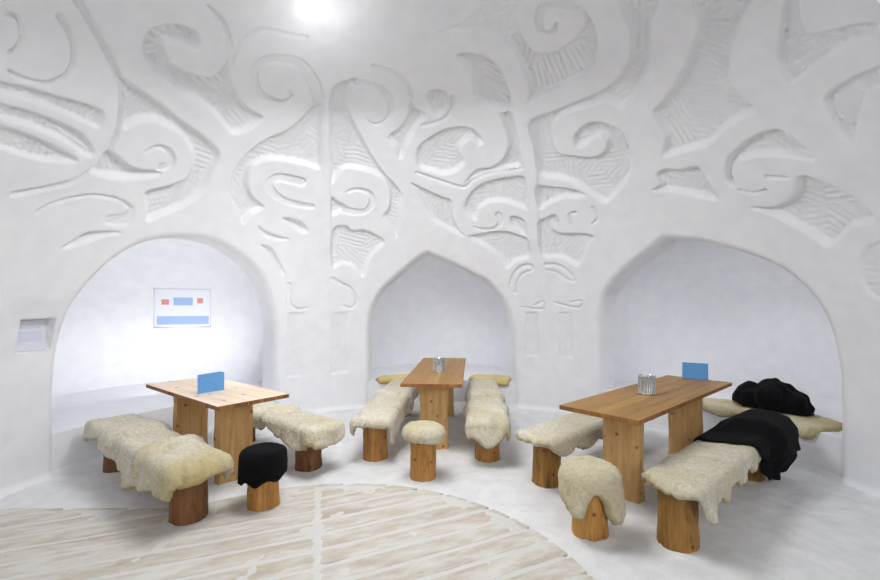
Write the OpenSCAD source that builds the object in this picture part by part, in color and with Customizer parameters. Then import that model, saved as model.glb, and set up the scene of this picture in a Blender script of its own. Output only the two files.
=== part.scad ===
/* [Hall] */
// Inner radius of the round hall and its vault
hall_r = 3580; // [3540:10:3620]
// Height of the vault's centre above the snow floor
spring_h = 600; // [560:10:680]
// Thickness of the packed snow over the hall
vault_t = 520; // [460:10:600]
// Thickness of the snow floor
floor_t = 160; // [120:10:260]
// Distance from the hall's centre forward to the open cut face
cut_front = 850; // [830:10:950]
// Height above the floor at which the piers end and the vault begins
pier_h = 1600; // [1540:10:1700]
// Radius of the smooth crown's edge, seen from inside
crown_r = 990; // [940:10:1000]

/* [Carving] */
// Depth of the fields sunk between the carved scrolls
relief_depth = 90; // [60:5:110]

/* [Niches] */
// Bearing of the left niche, counted from the right-hand side
niche_left_az = 148; // [147:0.5:149]
// Bearing of the middle niche
niche_mid_az = 89.5; // [89:0.5:90]
// Bearing of the right niche
niche_right_az = 31.5; // [31:0.5:32.5]
// How far each niche's centre lies behind the hall's inner face
niche_set = 470; // [440:10:520]
// Inner radius of a niche
niche_r = 1500; // [1480:5:1510]
// Thickness of the snow screen between the hall and a niche
screen_t = 240; // [200:10:300]
// Height of a niche's roof above the floor
niche_crown_h = 2480; // [2440:10:2560]
// Rounding between a niche's upright wall and its flat roof
niche_round = 820; // [760:10:880]
// Thickness of the snow round a niche
niche_t = 440; // [400:10:450]
// Rounding of the snow's outer edge over a niche
niche_shoulder = 1500; // [1300:20:1600]
// Height of the snow seat in a niche
seat_h = 380; // [330:10:430]
// How far the snow seat's front stands back from the hall wall
seat_back = 20; // [0:5:60]
// Height of the upright jambs of a niche's mouth
jamb_h = 1150; // [1050:10:1250]
// Height of the point of a niche's mouth
mouth_h = 2350; // [2300:10:2400]
// Width of the left niche's mouth
mouth_left_w = 2400; // [2300:20:2440]
// Width of the middle niche's mouth
mouth_mid_w = 2260; // [2160:20:2300]
// Width of the right niche's mouth
mouth_right_w = 2560; // [2460:20:2600]
// How far the left mouth's point stands to the left of its middle
point_left_off = -50; // [-100:10:100]
// How far the middle mouth's point stands to the left of its middle
point_mid_off = 200; // [100:10:260]
// How far the right mouth's point stands to the left of its middle
point_right_off = 220; // [100:10:280]

/* [Deck] */
// Thickness of the timber deck
deck_t = 22; // [16:2:40]
// Radius of the round part of the deck
deck_r = 1650; // [1600:10:1680]
// Distance of the deck's straight left wing from the hall's centre line
deck_wing_y = 150; // [120:10:180]

/* [Tables] */
// Height of a table top
table_h = 760; // [730:10:790]
// Thickness of a table top
table_t = 45; // [35:5:60]
// Width of a table top
table_w = 625; // [600:5:650]
// Length of the left table
table_left_l = 1540; // [1480:10:1600]
// Length of the middle table
table_mid_l = 2110; // [2050:10:2170]
// Length of the right table
table_right_l = 2170; // [2100:10:2200]
// Width of a table's split-log leg
leg_w = 320; // [280:10:360]
// Thickness of a table's split-log leg
leg_t = 150; // [130:10:170]

/* [Benches] */
// Height of a bench's log feet
log_h = 385; // [360:5:410]
// Diameter of a bench's log feet
log_d = 250; // [230:5:260]
// Width of a bench seat
bench_w = 300; // [290:5:310]
// Thickness of a bench seat
bench_t = 45; // [40:5:60]
// Distance from a table's axis to a bench's axis
bench_off = 560; // [550:5:570]

/* [Stools] */
// Height of a log stool
stool_h = 430; // [400:5:460]
// Diameter of a log stool
stool_d = 240; // [220:5:260]

/* [Soft covers] */
// Thickness of a sheepskin
fleece_t = 35; // [25:5:45]
// How far a sheepskin hangs down at the sides
fleece_drop = 70; // [50:5:90]
// Thickness of the black blanket
blanket_t = 25; // [20:5:35]
// How far the black blanket hangs down at the sides
blanket_drop = 130; // [100:5:160]

/* [Small things] */
// Diameter of a ribbed steel tin
tin_d = 150; // [130:5:170]
// Height of a ribbed steel tin
tin_h = 165; // [140:5:190]
// Wall thickness of a tin
tin_wall = 4; // [3:1:6]
// Width of a folded menu card
card_w = 240; // [210:10:270]
// Height of a folded menu card
card_h = 170; // [150:10:190]
// Width of the poster in the left niche
poster_w = 740; // [700:10:800]
// Height of the poster
poster_h = 570; // [500:10:600]
// Width of the notice on the left pier
notice_w = 250; // [220:10:300]
// Height of the notice
notice_h = 260; // [220:10:300]
// Thickness of the poster and the notice
board_t = 10; // [8:1:14]

/* [Hidden] */
// Facets of small round pieces, and of the hall and its niches
$fn = 96;
big_fn = 256;
arch_steps = 12;
round_steps = 9;
field_run = 700;
mouth_run = 1100;
far = 9000;
top = floor_t;
spring_z = top + spring_h;
pier_z = top + pier_h;
crown_angle = acos(crown_r / hall_r);
outer_r = hall_r + vault_t;
niche_crown_z = top + niche_crown_h;
niche_reach = hall_r + niche_set;
seat_front_r = hall_r + seat_back;
left_split = (niche_left_az + niche_mid_az) / 2;
right_split = (niche_mid_az + niche_right_az) / 2;

// Carved relief: the outline of each sunk field, going round once, as bearing and height along the wall
relief_left = [
    // Hook over the left band, with its long hatched tail
    [[170.8, 4140], [172.5, 4230], [176, 4250], [180, 4180], [182, 4040], [180.5, 3920], [176, 3810],
        [170, 3780], [160, 3750], [155, 3700], [150, 3610], [147, 3700], [145.2, 3890], [150, 3920],
        [155, 4000], [160, 4140], [162.3, 4220], [162.6, 4050], [165, 3980], [170, 3930], [174, 3950],
        [177.5, 4030], [174.5, 4100]],
    // Field round the lower left scroll
    [[178.5, 3610], [170, 3600], [160, 3520], [154, 3450], [150.2, 3340], [150, 3100], [150.3, 2900],
        [152, 2740], [155, 2600], [158.3, 2460], [159.2, 2600], [160.8, 2750], [157, 2880], [154.6, 3000],
        [154.6, 3150], [156, 3280], [160, 3400], [165, 3430], [168.5, 3370], [170.3, 3250], [171.8, 3350],
        [174.5, 3500]],
    [[170.4, 3030], [171, 2880], [170.8, 2790], [165, 2820], [160.6, 2920], [160, 2990], [165, 2950]],
    // Leaves of the side panel
    [[185, 3200], [175, 3200], [173.8, 3260], [175, 3320], [185, 3320]],
    [[185, 2980], [176, 2980], [172.5, 2970], [176, 3060], [185, 3070]],
    [[185, 2800], [177, 2820], [173.5, 2870], [177, 2940], [185, 2950]],
    // Small fields under the left scroll
    [[170, 2520], [166, 2560], [163, 2600], [161.6, 2500], [162.5, 2380], [165, 2380], [168, 2450]],
    [[170.3, 2080], [169, 2150], [167, 2270], [162, 2310], [165, 2240], [168, 2130]],
    // Field left of the first stem, round the hanging scroll
    [[131.3, 4280], [128.6, 4020], [126.6, 3750], [125.2, 3480], [129, 3490], [135, 3480], [139, 3440],
        [142, 3310], [141.6, 3130], [139.5, 2970], [136, 2860], [138.5, 2750], [139.8, 2600],
        [142, 2750], [144.6, 2950], [145.6, 3200], [144.6, 3450], [141.5, 3680], [138, 3820],
        [135.3, 4020], [134.5, 4140]],
    [[131.5, 2750], [128, 2760], [125.5, 2700], [124.3, 2600], [126, 2580], [128.5, 2660]],
    [[136.5, 2620], [134, 2550], [130, 2500], [128.5, 2480], [131, 2450], [134.5, 2500]],
    [[134.8, 2360], [132.5, 2350], [130.5, 2220], [128.6, 2050], [128.8, 1970], [130.5, 2100], [133, 2280]]
];
relief_mid = [
    // Field right of the first stem
    [[130.3, 4470], [127, 4620], [123.5, 4660], [123.6, 4420], [121.5, 4250], [117, 4050], [112, 3800],
        [107, 3550], [103.5, 3400], [100.9, 3250], [100.7, 3000], [101, 2780], [101.6, 2600],
        [103.5, 2760], [105.8, 2900], [104.3, 3050], [104.6, 3280], [107, 3450], [111, 3530],
        [116, 3550], [119, 3500], [120.9, 3300], [122, 3500], [124.5, 3820], [127, 4120]],
    [[120.2, 3120], [119.3, 2870], [116.5, 2950], [116.3, 3030], [118.5, 3080]],
    [[118.4, 2660], [115.3, 2740], [113.5, 2680], [110.5, 2700], [106.5, 2620], [104.6, 2520],
        [106.5, 2400], [108.5, 2220], [109.6, 1980], [112, 2130], [115, 2170], [117.4, 2130]],
    // Wedge between the two upper scrolls
    [[101.3, 4520], [99.3, 4450], [95.2, 4360], [98, 4200], [100.3, 4000], [102.3, 3740], [104.5, 3900],
        [107.3, 4040], [104, 4160], [101.8, 4320]],
    // Ring over the middle band
    [[95.5, 4600], [93, 4680], [89, 4680], [87, 4620], [86.3, 4520], [88, 4420], [91, 4350]],
    // Fields over and under the middle band
    [[97.3, 3900], [94, 4050], [88, 4180], [82, 4200], [78, 4140], [75.6, 3980], [77.5, 3940], [80, 4030],
        [83, 3950], [83.6, 3850], [82.3, 3720], [84, 3620], [88, 3550], [92, 3580], [96.8, 3660]],
    [[83, 3400], [80, 3480], [75, 3550], [68, 3580], [65.2, 3570], [64.8, 3800], [64.6, 4050],
        [64.3, 4300], [68.5, 4300], [67.8, 4100], [67.7, 3950], [68.5, 3850], [71, 3700], [74.5, 3620],
        [79, 3600]],
    [[98.6, 3420], [95, 3350], [90, 3240], [86.8, 3170], [86.4, 2950], [85, 2750], [83.2, 2620],
        [86, 2690], [89, 2780], [92, 2880], [94.5, 3100], [96.5, 3280]],
    // Fields left of the second stem
    [[81.5, 5080], [76.5, 5100], [70, 5060], [66, 4970], [63.5, 4830], [62.8, 4600], [63.4, 4350],
        [67, 4330], [71, 4420], [75, 4470], [76.7, 4620], [76.3, 4800], [78.5, 4950]],
    [[83.2, 3040], [82, 3220], [79, 3370], [75, 3440], [70, 3460], [65.3, 3440], [65.4, 3200],
        [65.9, 2980], [68, 3030], [72, 3120], [76, 3120], [79, 3030], [79.9, 2880], [81.5, 2900]],
    [[70.5, 2900], [67.2, 2830], [67.3, 2600], [69, 2680], [70.7, 2780]],
    [[82.5, 2620], [79, 2660], [76, 2700], [72, 2680], [69, 2620], [67, 2550], [66.7, 2300],
        [70.5, 2220], [72.8, 2120], [74.5, 2300], [78, 2460]]
];
relief_right = [
    // Fields right of the second stem
    [[59.3, 4150], [50, 4200], [42, 4220], [33, 4200], [38, 4110], [46, 4140], [50, 4090], [53.3, 3970],
        [54.4, 3800], [53.7, 3670], [50, 3600], [45, 3530], [41.8, 3570], [40.3, 3680], [41.5, 3760],
        [44.5, 3720], [46.5, 3680], [48.6, 3700], [48.4, 3820], [46, 3900], [42, 3940], [38.5, 3880],
        [35.7, 3750], [35.1, 3580], [36, 3400], [39, 3180], [43, 3020], [45.8, 2940], [48, 3020],
        [51, 3200], [55, 3330], [60.4, 3430], [60.7, 3600], [60.2, 3850]],
    [[62.4, 3280], [58.5, 3260], [53, 3180], [50.2, 3080], [52, 3050], [56, 3080], [60, 3030],
        [62.8, 2980]],
    [[63.6, 2760], [61.5, 2840], [58.9, 2870], [58.6, 2750], [60, 2660], [58, 2600], [54, 2580],
        [50.6, 2520], [52.5, 2380], [54.5, 2170], [56, 2130], [59, 2250], [63.8, 2300]],
    // Crescent at the top
    [[57.5, 4380], [52, 4410], [45, 4420], [38, 4430], [33, 4470], [28, 4580], [24, 4700], [20, 4860],
        [18, 5000], [22, 4870], [28, 4820], [35, 4800], [41, 4810], [45.5, 4870], [47.5, 4970],
        [48, 5140], [54.5, 5100], [54.9, 4750], [55.3, 4550]],
    // Bands that run down to the right
    [[36, 4200], [30, 4240], [25, 4300], [20, 4400], [15, 4540], [11, 4690], [8, 4690], [4.3, 4570],
        [8, 4500], [12, 4410], [17, 4270], [22, 4150], [27, 4030], [31.8, 3960], [34, 4050]],
    [[29.4, 3320], [26.8, 3500], [26.2, 3780], [22, 3850], [17, 3940], [12, 4020], [7, 4120], [0, 4230],
        [-3, 4270], [-3, 4000], [1, 3930], [5, 3780], [7.3, 3680], [6.8, 3400], [11, 3400], [16, 3340],
        [20, 3280], [25, 3300]],
    [[34.7, 2970], [32.6, 3020], [32.4, 3140], [30, 3180], [27, 3120], [23.3, 3100], [23, 2900],
        [22.7, 2720], [27, 2820], [31, 2920]],
    [[19.5, 2860], [18.7, 3000], [16.5, 3110], [12, 3190], [8, 3200], [5.3, 3130], [3.8, 2840],
        [7, 2920], [11, 3010], [15.5, 3040], [17.8, 2950], [18.4, 2800]],
    [[17.4, 2570], [14, 2530], [10, 2580], [7.7, 2740], [5, 2660], [2.5, 2470], [1, 2240], [4.5, 2220],
        [8.3, 2090], [10.5, 2220], [14, 2420]]
];

// Snow building

module block(y_from) {
    translate([-far, y_from, -1]) cube([2 * far, far, far]);
}

module wedge(from, to) {
    mid = (from + to) / 2;
    translate([0, 0, -1]) linear_extrude(far) polygon([
        [0, 0], far * [cos(from), sin(from)], 2 * far * [cos(mid), sin(mid)], far * [cos(to), sin(to)]
    ]);
}

// Half of the section through a round room or mass under a dome of its own radius
module dome_section(r, from) {
    intersection() {
        translate([0, from]) square([r, far]);
        union() {
            translate([0, spring_z]) circle(r, $fn = big_fn);
            translate([0, from]) square([r, spring_z - from]);
        }
    }
}

module hall_section() {
    difference() {
        dome_section(outer_r, 0);
        dome_section(hall_r, -1);
    }
}

// The crown is cut out along rays from the vault's centre, as a key is in an arch
module crown_section() {
    translate([0, spring_z]) polygon([[0, 0], [0, far], [far / tan(crown_angle), far]]);
}

// A round room or mass with an upright wall, a flat roof and a rounding between them
module drum(r, from, crown, rounding) {
    rotate_extrude($fn = big_fn) polygon(concat(
        [[0, from], [r, from]],
        [for (i = [0:round_steps]) let (a = 90 * i / round_steps)
            [r - rounding * (1 - cos(a)), crown - rounding * (1 - sin(a))]],
        [[0, crown]]
    ));
}

module dome(r, from) {
    rotate_extrude($fn = big_fn) dome_section(r, from);
}

module at_niche(az) {
    rotate([0, 0, az]) translate([niche_reach, 0, 0]) children();
}

module niche_room() {
    drum(niche_r, -1, niche_crown_z, niche_round);
}

module niche_solid() {
    drum(niche_r + niche_t, 0, niche_crown_z + niche_t, niche_shoulder);
}

// One side of a mouth's outline, from the top of its jamb to its point
function arch_side(edge, point) = [
    for (i = [0:arch_steps]) let (a = 90 * i / arch_steps) [
        point + (edge - point) * pow(cos(a), 0.8),
        jamb_h + (mouth_h - jamb_h) * pow(sin(a), 1.25)
    ]
];

function arch(w, point) = concat(
    [[w / 2, -top - 1]],
    arch_side(w / 2, point),
    [for (i = [arch_steps - 1:-1:0]) arch_side(-w / 2, point)[i]],
    [[-w / 2, -top - 1]]
);

module mouth(w, point) {
    translate([-mouth_run, 0, top]) rotate([90, 0, 90]) linear_extrude(mouth_run) polygon(arch(w, point));
}

module niche_void(az, w, point) {
    difference() {
        at_niche(az) niche_room();
        dome(hall_r + screen_t, -2);
    }
    at_niche(az) mouth(w, point);
}

module niche_voids() {
    niche_void(niche_left_az, mouth_left_w, point_left_off);
    niche_void(niche_mid_az, mouth_mid_w, point_mid_off);
    niche_void(niche_right_az, mouth_right_w, point_right_off);
}

module snow() {
    color([0.88, 0.9, 0.93]) children();
}

// Turns a section through the hall's wall between two bearings, and cuts the niches out of it
module hall_part(from, to) {
    snow() difference() {
        intersection() {
            rotate_extrude($fn = big_fn) children();
            wedge(from, to);
            block(-cut_front);
        }
        niche_voids();
    }
}

function elevation(h) = (h - spring_h) / hall_r * 180 / PI;

// A wall point as seen square on from the vault's centre along a bearing and an elevation
function seen_from(p, az, el) = let (e = elevation(p[1]), a = p[0] - az) hall_r * [
    cos(e) * sin(a),
    sin(e) * cos(el) - cos(e) * cos(a) * sin(el)
];

// Adds a point halfway along each side of a closed outline, on the curve through its neighbours
function smooth_loop(pts) = let (n = len(pts)) [
    for (i = [0:n - 1]) each [
        pts[i],
        (9 * pts[i] + 9 * pts[(i + 1) % n] - pts[(i + n - 1) % n] - pts[(i + 2) % n]) / 16
    ]
];

function column(list, i) = [for (p = list) p[i]];

module field(outline) {
    az = (max(column(outline, 0)) + min(column(outline, 0))) / 2;
    el = elevation((max(column(outline, 1)) + min(column(outline, 1))) / 2);
    rotate([0, -el, az]) translate([hall_r - field_run, 0, 0]) rotate([90, 0, 90])
        linear_extrude(field_run * 2) polygon([for (p = smooth_loop(outline)) seen_from(p, az, el)]);
}

// The sunk fields that reach between two bearings
module relief(from, to) {
    intersection() {
        translate([0, 0, spring_z]) {
            for (f = concat(relief_left, relief_mid, relief_right))
                if (max(column(f, 0)) > from && min(column(f, 0)) < to) field(f);
        }
        translate([0, 0, spring_z]) sphere(hall_r + relief_depth, $fn = big_fn);
    }
}

module pier(from, to) {
    hall_part(from, to) intersection() {
        hall_section();
        square([far, pier_z]);
    }
}

module vault(from, to) {
    hall_part(from, to) difference() {
        hall_section();
        square([far, pier_z]);
        crown_section();
    }
}

module end_pier_left() {
    difference() {
        pier(niche_left_az, niche_left_az + 80);
        at_notice() wall_bed(hall_r, notice_mid_h, notice_w, notice_h);
    }
}

module pillar_left() {
    pier(niche_mid_az, niche_left_az);
}

module pillar_right() {
    pier(niche_right_az, niche_mid_az);
}

module end_pier_right() {
    pier(niche_right_az - 80, niche_right_az);
}

module vault_left() {
    difference() {
        vault(left_split, 270);
        relief(left_split, 270);
    }
}

module vault_mid() {
    difference() {
        vault(right_split, left_split);
        relief(right_split, left_split);
    }
}

module vault_right() {
    difference() {
        vault(-90, right_split);
        relief(-90, right_split);
    }
}

module vault_crown() {
    snow() intersection() {
        rotate_extrude($fn = big_fn) intersection() {
            hall_section();
            crown_section();
        }
        block(-cut_front);
    }
}

module niche_shell(az) {
    snow() difference() {
        at_niche(az) niche_solid();
        at_niche(az) niche_room();
        dome(outer_r, 0);
    }
}

module niche_left() {
    difference() {
        niche_shell(niche_left_az);
        at_poster() wall_bed(niche_r, poster_mid_h, poster_w, poster_h);
    }
}

module niche_mid() {
    niche_shell(niche_mid_az);
}

module niche_right() {
    niche_shell(niche_right_az);
}

// Plan of a niche behind its screen, with the way in through its mouth
module niche_plan(az, w) {
    difference() {
        rotate(az) translate([niche_reach, 0]) circle(niche_r, $fn = big_fn);
        circle(hall_r + screen_t, $fn = big_fn);
    }
    rotate(az) translate([niche_reach - mouth_run, -w / 2]) square([mouth_run, w]);
}

module room_plan() {
    circle(hall_r, $fn = big_fn);
    niche_plan(niche_left_az, mouth_left_w);
    niche_plan(niche_mid_az, mouth_mid_w);
    niche_plan(niche_right_az, mouth_right_w);
}

module snow_floor() {
    snow() linear_extrude(top) difference() {
        room_plan();
        translate([-far, -far - cut_front]) square([2 * far, far]);
    }
}

module seat(az, w) {
    snow() translate([0, 0, top]) linear_extrude(seat_h) difference() {
        niche_plan(az, w);
        circle(seat_front_r, $fn = big_fn);
    }
}

module seat_left() {
    seat(niche_left_az, mouth_left_w);
}

module seat_mid() {
    seat(niche_mid_az, mouth_mid_w);
}

module seat_right() {
    seat(niche_right_az, mouth_right_w);
}

// Timber deck

deck_centre = [-750, -1050];
deck_seam = [[-1060, 640], [-600, -1000]];
// Gaps between the hall's wall and the deck, on the left and all round
deck_left_gap = 250;
deck_wall_gap = 40;
deck_far_x = deck_left_gap - hall_r;
deck_wing_x = -1700;
// Snow left round a log that stands within the deck
foot_gap = 25;

module deck_plan() {
    difference() {
        union() {
            translate(deck_centre) circle(deck_r, $fn = big_fn);
            translate([deck_far_x, -cut_front]) square([deck_wing_x - deck_far_x, cut_front + deck_wing_y]);
        }
        translate([-far, -far - cut_front]) square([2 * far, far]);
        difference() {
            square(2 * far, center = true);
            circle(hall_r - deck_wall_gap, $fn = big_fn);
        }
        translate(bench_log_place(table_left_at, benches_left_at[0], 3)) circle(d = log_d + 2 * foot_gap);
        translate(beside(table_left_at, stool_left_at)) circle(d = stool_d + 2 * foot_gap);
    }
}

module seam_side(side) {
    run = deck_seam[0] - deck_seam[1];
    translate(deck_seam[1]) rotate(atan2(run[1], run[0])) translate([-far, side > 0 ? 0 : -far])
        square([2 * far, far]);
}

module deck(side) {
    color([0.72, 0.68, 0.6]) translate([0, 0, top]) linear_extrude(deck_t) intersection() {
        deck_plan();
        seam_side(side);
    }
}

module deck_left() {
    deck(1);
}

module deck_right() {
    deck(-1);
}

// Furniture: each table's group shares a frame with +X along the table, away from the hall's centre

// Each table: bearing of its middle, how far that is from the hall's wall, and the table's turn
table_left_at = [155.4, 1226, 141.6];
table_mid_at = [90.25, 1310, 85.7];
table_right_at = [22.45, 1459, 41.9];

legs_left = [-400, 500];
legs_mid = [-720, 610];
legs_right = [-660, 720];

// Each bench: side of the table, start, end, places of its two logs
benches_left_at = [[1, -1050, 880, -870, 670], [-1, -950, 750, -700, 520]];
benches_mid_at = [[1, -1250, 850, -1070, 620], [-1, -1230, 900, -1010, 650]];
benches_right_at = [[1, -1080, 850, -890, 600], [-1, -1200, 830, -1080, 550]];

function table_middle(at) = (hall_r - at[1]) * [cos(at[0]), sin(at[0])];

// Place on the floor that is uv[0] along a table and uv[1] to its left
function beside(at, uv) = table_middle(at) + [
    uv[0] * cos(at[2]) - uv[1] * sin(at[2]),
    uv[0] * sin(at[2]) + uv[1] * cos(at[2])
];

// Place on the floor of one of a bench's logs, which entry 3 or 4 of the bench gives along the table
function bench_log_place(at, b, entry) = beside(at, [b[entry], b[0] * bench_off]);

module at_table(at) {
    translate([table_middle(at)[0], table_middle(at)[1], top]) rotate([0, 0, at[2]]) children();
}

module table_top(at, l) {
    color([0.68, 0.5, 0.3]) at_table(at)
        translate([-l / 2, -table_w / 2, table_h - table_t]) cube([l, table_w, table_t]);
}

module leg_plan() {
    bulge = leg_w * 0.9;
    intersection() {
        square([leg_t, leg_w], center = true);
        translate([leg_t / 2 - bulge, 0]) circle(bulge);
        translate([bulge - leg_t / 2, 0]) circle(bulge);
    }
}

module table_legs(at, places) {
    color([0.82, 0.64, 0.4]) at_table(at) for (u = places) translate([u, 0, 0])
        linear_extrude(table_h - table_t) leg_plan();
}

module table_left_top() {
    table_top(table_left_at, table_left_l);
}

module table_mid_top() {
    table_top(table_mid_at, table_mid_l);
}

module table_right_top() {
    table_top(table_right_at, table_right_l);
}

module table_left_legs() {
    table_legs(table_left_at, legs_left);
}

module table_mid_legs() {
    table_legs(table_mid_at, legs_mid);
}

module table_right_legs() {
    table_legs(table_right_at, legs_right);
}

module bench_seats(at, list) {
    color([0.75, 0.56, 0.34]) at_table(at) for (b = list)
        translate([b[1], b[0] * bench_off - bench_w / 2, log_h]) cube([b[2] - b[1], bench_w, bench_t]);
}

// A log's end diameters differ by this much
log_taper = 10;

module bench_logs(at, list) {
    color([0.72, 0.45, 0.22]) at_table(at) for (b = list) for (u = [b[3], b[4]])
        translate([u, b[0] * bench_off, 0]) cylinder(h = log_h, d1 = log_d, d2 = log_d - log_taper);
}

module benches_left() {
    bench_seats(table_left_at, benches_left_at);
}

module benches_mid() {
    bench_seats(table_mid_at, benches_mid_at);
}

module benches_right() {
    bench_seats(table_right_at, benches_right_at);
}

module bench_logs_left() {
    bench_logs(table_left_at, benches_left_at);
}

module bench_logs_mid() {
    bench_logs(table_mid_at, benches_mid_at);
}

module bench_logs_right() {
    bench_logs(table_right_at, benches_right_at);
}

// Soft covers

cover_gap = 0.3;
fleece_over = 30;
blanket_start = -20;

function drape_plan(w, t, drop) = [
    [-w / 2 - cover_gap, -drop], [-w / 2 - cover_gap, cover_gap], [w / 2 + cover_gap, cover_gap],
    [w / 2 + cover_gap, -drop], [w / 2 + t, -drop], [w / 2 + t, t / 2], [w / 2 + t / 2, t],
    [-w / 2 - t / 2, t], [-w / 2 - t, t / 2], [-w / 2 - t, -drop]
];

module drape(b, from, to, t, drop) {
    translate([from, b[0] * bench_off, log_h + bench_t]) rotate([90, 0, 90])
        linear_extrude(to - from) polygon(drape_plan(bench_w, t, drop));
}

module bench_fleece(b, from, to) {
    drape(b, from, to, fleece_t, fleece_drop);
}

module fleeces(at, list) {
    color([0.93, 0.91, 0.82]) at_table(at) for (b = list)
        bench_fleece(b, b[1] - fleece_over, b[2] + fleece_over);
}

module fleeces_left() {
    fleeces(table_left_at, benches_left_at);
}

module fleeces_mid() {
    fleeces(table_mid_at, benches_mid_at);
}

module fleeces_right() {
    far_bench = benches_right_at[0];
    near_bench = benches_right_at[1];
    color([0.93, 0.91, 0.82]) at_table(table_right_at) {
        bench_fleece(far_bench, far_bench[1] - fleece_over, far_bench[2] + fleece_over);
        bench_fleece(near_bench, near_bench[1] - fleece_over, blanket_start - cover_gap);
    }
}

module black_blanket() {
    b = benches_right_at[1];
    color([0.06, 0.06, 0.07]) at_table(table_right_at)
        drape(b, blanket_start, b[2] + fleece_over, blanket_t, blanket_drop);
}

// Each stool: its place along its table and to the table's left
stool_left_at = [-1104, 120];
stool_mid_at = [-1526, 26];
stool_right_at = [-1375, -110];
cover_drop = 70;

module stool(table_at, at) {
    color([0.74, 0.48, 0.25]) at_table(table_at) translate(at)
        cylinder(h = stool_h, d1 = stool_d, d2 = stool_d - log_taper);
}

module stool_cover(table_at, at, t, drop) {
    at_table(table_at) translate([at[0], at[1], stool_h]) rotate_extrude() polygon([
        [0, cover_gap], [stool_d / 2 + cover_gap, cover_gap], [stool_d / 2 + cover_gap, -drop],
        [stool_d / 2 + t, -drop], [stool_d / 2 + t, t / 2], [stool_d / 2, t], [0, t * 1.3]
    ]);
}

module stool_left() {
    stool(table_left_at, stool_left_at);
}

module stool_mid() {
    stool(table_mid_at, stool_mid_at);
}

module stool_right() {
    stool(table_right_at, stool_right_at);
}

module stool_cover_left() {
    color([0.07, 0.07, 0.08]) stool_cover(table_left_at, stool_left_at, fleece_t, cover_drop * 1.8);
}

module stool_cover_mid() {
    color([0.93, 0.91, 0.82]) stool_cover(table_mid_at, stool_mid_at, fleece_t, cover_drop);
}

module stool_cover_right() {
    color([0.93, 0.91, 0.82]) stool_cover(table_right_at, stool_right_at, fleece_t, cover_drop * 2);
}

// A sheepskin lying on the snow seat of a niche: bearing, distance behind the hall's face, length, width
niche_fleeces_at = [[24.3, 320, 1250, 540], [102, 210, 560, 330], [77, 210, 560, 330]];
bundle_at = [24, 350];
bundle_r = 300;
bundle_h = 260;

module on_seat(az, behind) {
    rotate([0, 0, az]) translate([hall_r + behind, 0, top + seat_h]) children();
}

module niche_fleeces() {
    color([0.93, 0.91, 0.82]) for (f = niche_fleeces_at) on_seat(f[0], f[1])
        translate([-f[3] / 2, -f[2] / 2, 0]) cube([f[3], f[2], fleece_t]);
}

module black_bundle() {
    cap_r = (bundle_r * bundle_r + bundle_h * bundle_h) / (2 * bundle_h);
    color([0.06, 0.06, 0.07]) on_seat(bundle_at[0], bundle_at[1])
        translate([0, 0, fleece_t + cover_gap]) intersection() {
            translate([0, 0, bundle_h - cap_r]) sphere(cap_r);
            cylinder(h = bundle_h, r = 2 * bundle_r);
        }
}

// Small things on the tables

card_t = 3;
card_spread = 50;
// Each card or tin: its place along its table and to the table's left, and a card's turn
card_left_at = [-133, 86, -81.6];
card_right_at = [1033, 14, -76.9];
tin_mid_at = [-279, -21];
tin_right_at = [-136, 28];
tin_base = 4;

module card(table_at, at) {
    at_table(table_at) translate([at[0], at[1], table_h]) rotate([90, 0, at[2] + 90])
        translate([0, 0, -card_w / 2]) linear_extrude(card_w) polygon([
            [-card_spread, 0], [0, card_h], [card_spread, 0], [card_spread - card_t, 0],
            [0, card_h - card_t * 3.4], [card_t - card_spread, 0]
        ]);
}

module menu_cards() {
    color([0.3, 0.55, 0.78]) {
        card(table_left_at, card_left_at);
        card(table_right_at, card_right_at);
    }
}

module tin(table_at, at) {
    at_table(table_at) translate([at[0], at[1], table_h]) difference() {
        cylinder(h = tin_h, d = tin_d);
        translate([0, 0, tin_base]) cylinder(h = tin_h, d = tin_d - 2 * tin_wall);
    }
}

module tins() {
    color([0.7, 0.7, 0.72]) {
        tin(table_mid_at, tin_mid_at);
        tin(table_right_at, tin_right_at);
    }
}

// Boards on the snow wall, each on a flat bed carved for it

poster_turn = -38;
poster_mid_h = 1500;
notice_gap = 39;
notice_az = niche_left_az + asin(mouth_left_w / 2 / hall_r) + asin((notice_w / 2 + notice_gap) / hall_r);
notice_mid_h = 1290;
bed_margin = 15;
bed_run = 900;

// A plate w wide and h high, t thick, with its back at distance r along X
module wall_plate(r, mid_h, w, h, t) {
    translate([r - t, -w / 2, top + mid_h - h / 2]) cube([t, w, h]);
}

module wall_bed(r, mid_h, w, h) {
    wall_plate(r, mid_h, w + 2 * bed_margin, h + 2 * bed_margin, bed_run);
}

module at_poster() {
    at_niche(niche_left_az) rotate([0, 0, poster_turn]) children();
}

module at_notice() {
    rotate([0, 0, notice_az]) children();
}

module poster() {
    color([0.9, 0.92, 0.95]) at_poster() wall_plate(niche_r, poster_mid_h, poster_w, poster_h, board_t);
}

module notice() {
    color([0.85, 0.87, 0.9]) at_notice() wall_plate(hall_r, notice_mid_h, notice_w, notice_h, board_t);
}

snow_floor();
end_pier_left();
pillar_left();
pillar_right();
end_pier_right();
niche_left();
niche_mid();
niche_right();
seat_left();
seat_mid();
seat_right();
vault_left();
vault_mid();
vault_right();
vault_crown();
deck_left();
deck_right();
table_left_top();
table_left_legs();
table_mid_top();
table_mid_legs();
table_right_top();
table_right_legs();
benches_left();
benches_mid();
benches_right();
bench_logs_left();
bench_logs_mid();
bench_logs_right();
fleeces_left();
fleeces_mid();
fleeces_right();
black_blanket();
stool_left();
stool_mid();
stool_right();
stool_cover_left();
stool_cover_mid();
stool_cover_right();
niche_fleeces();
black_bundle();
menu_cards();
tins();
poster();
notice();
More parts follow.
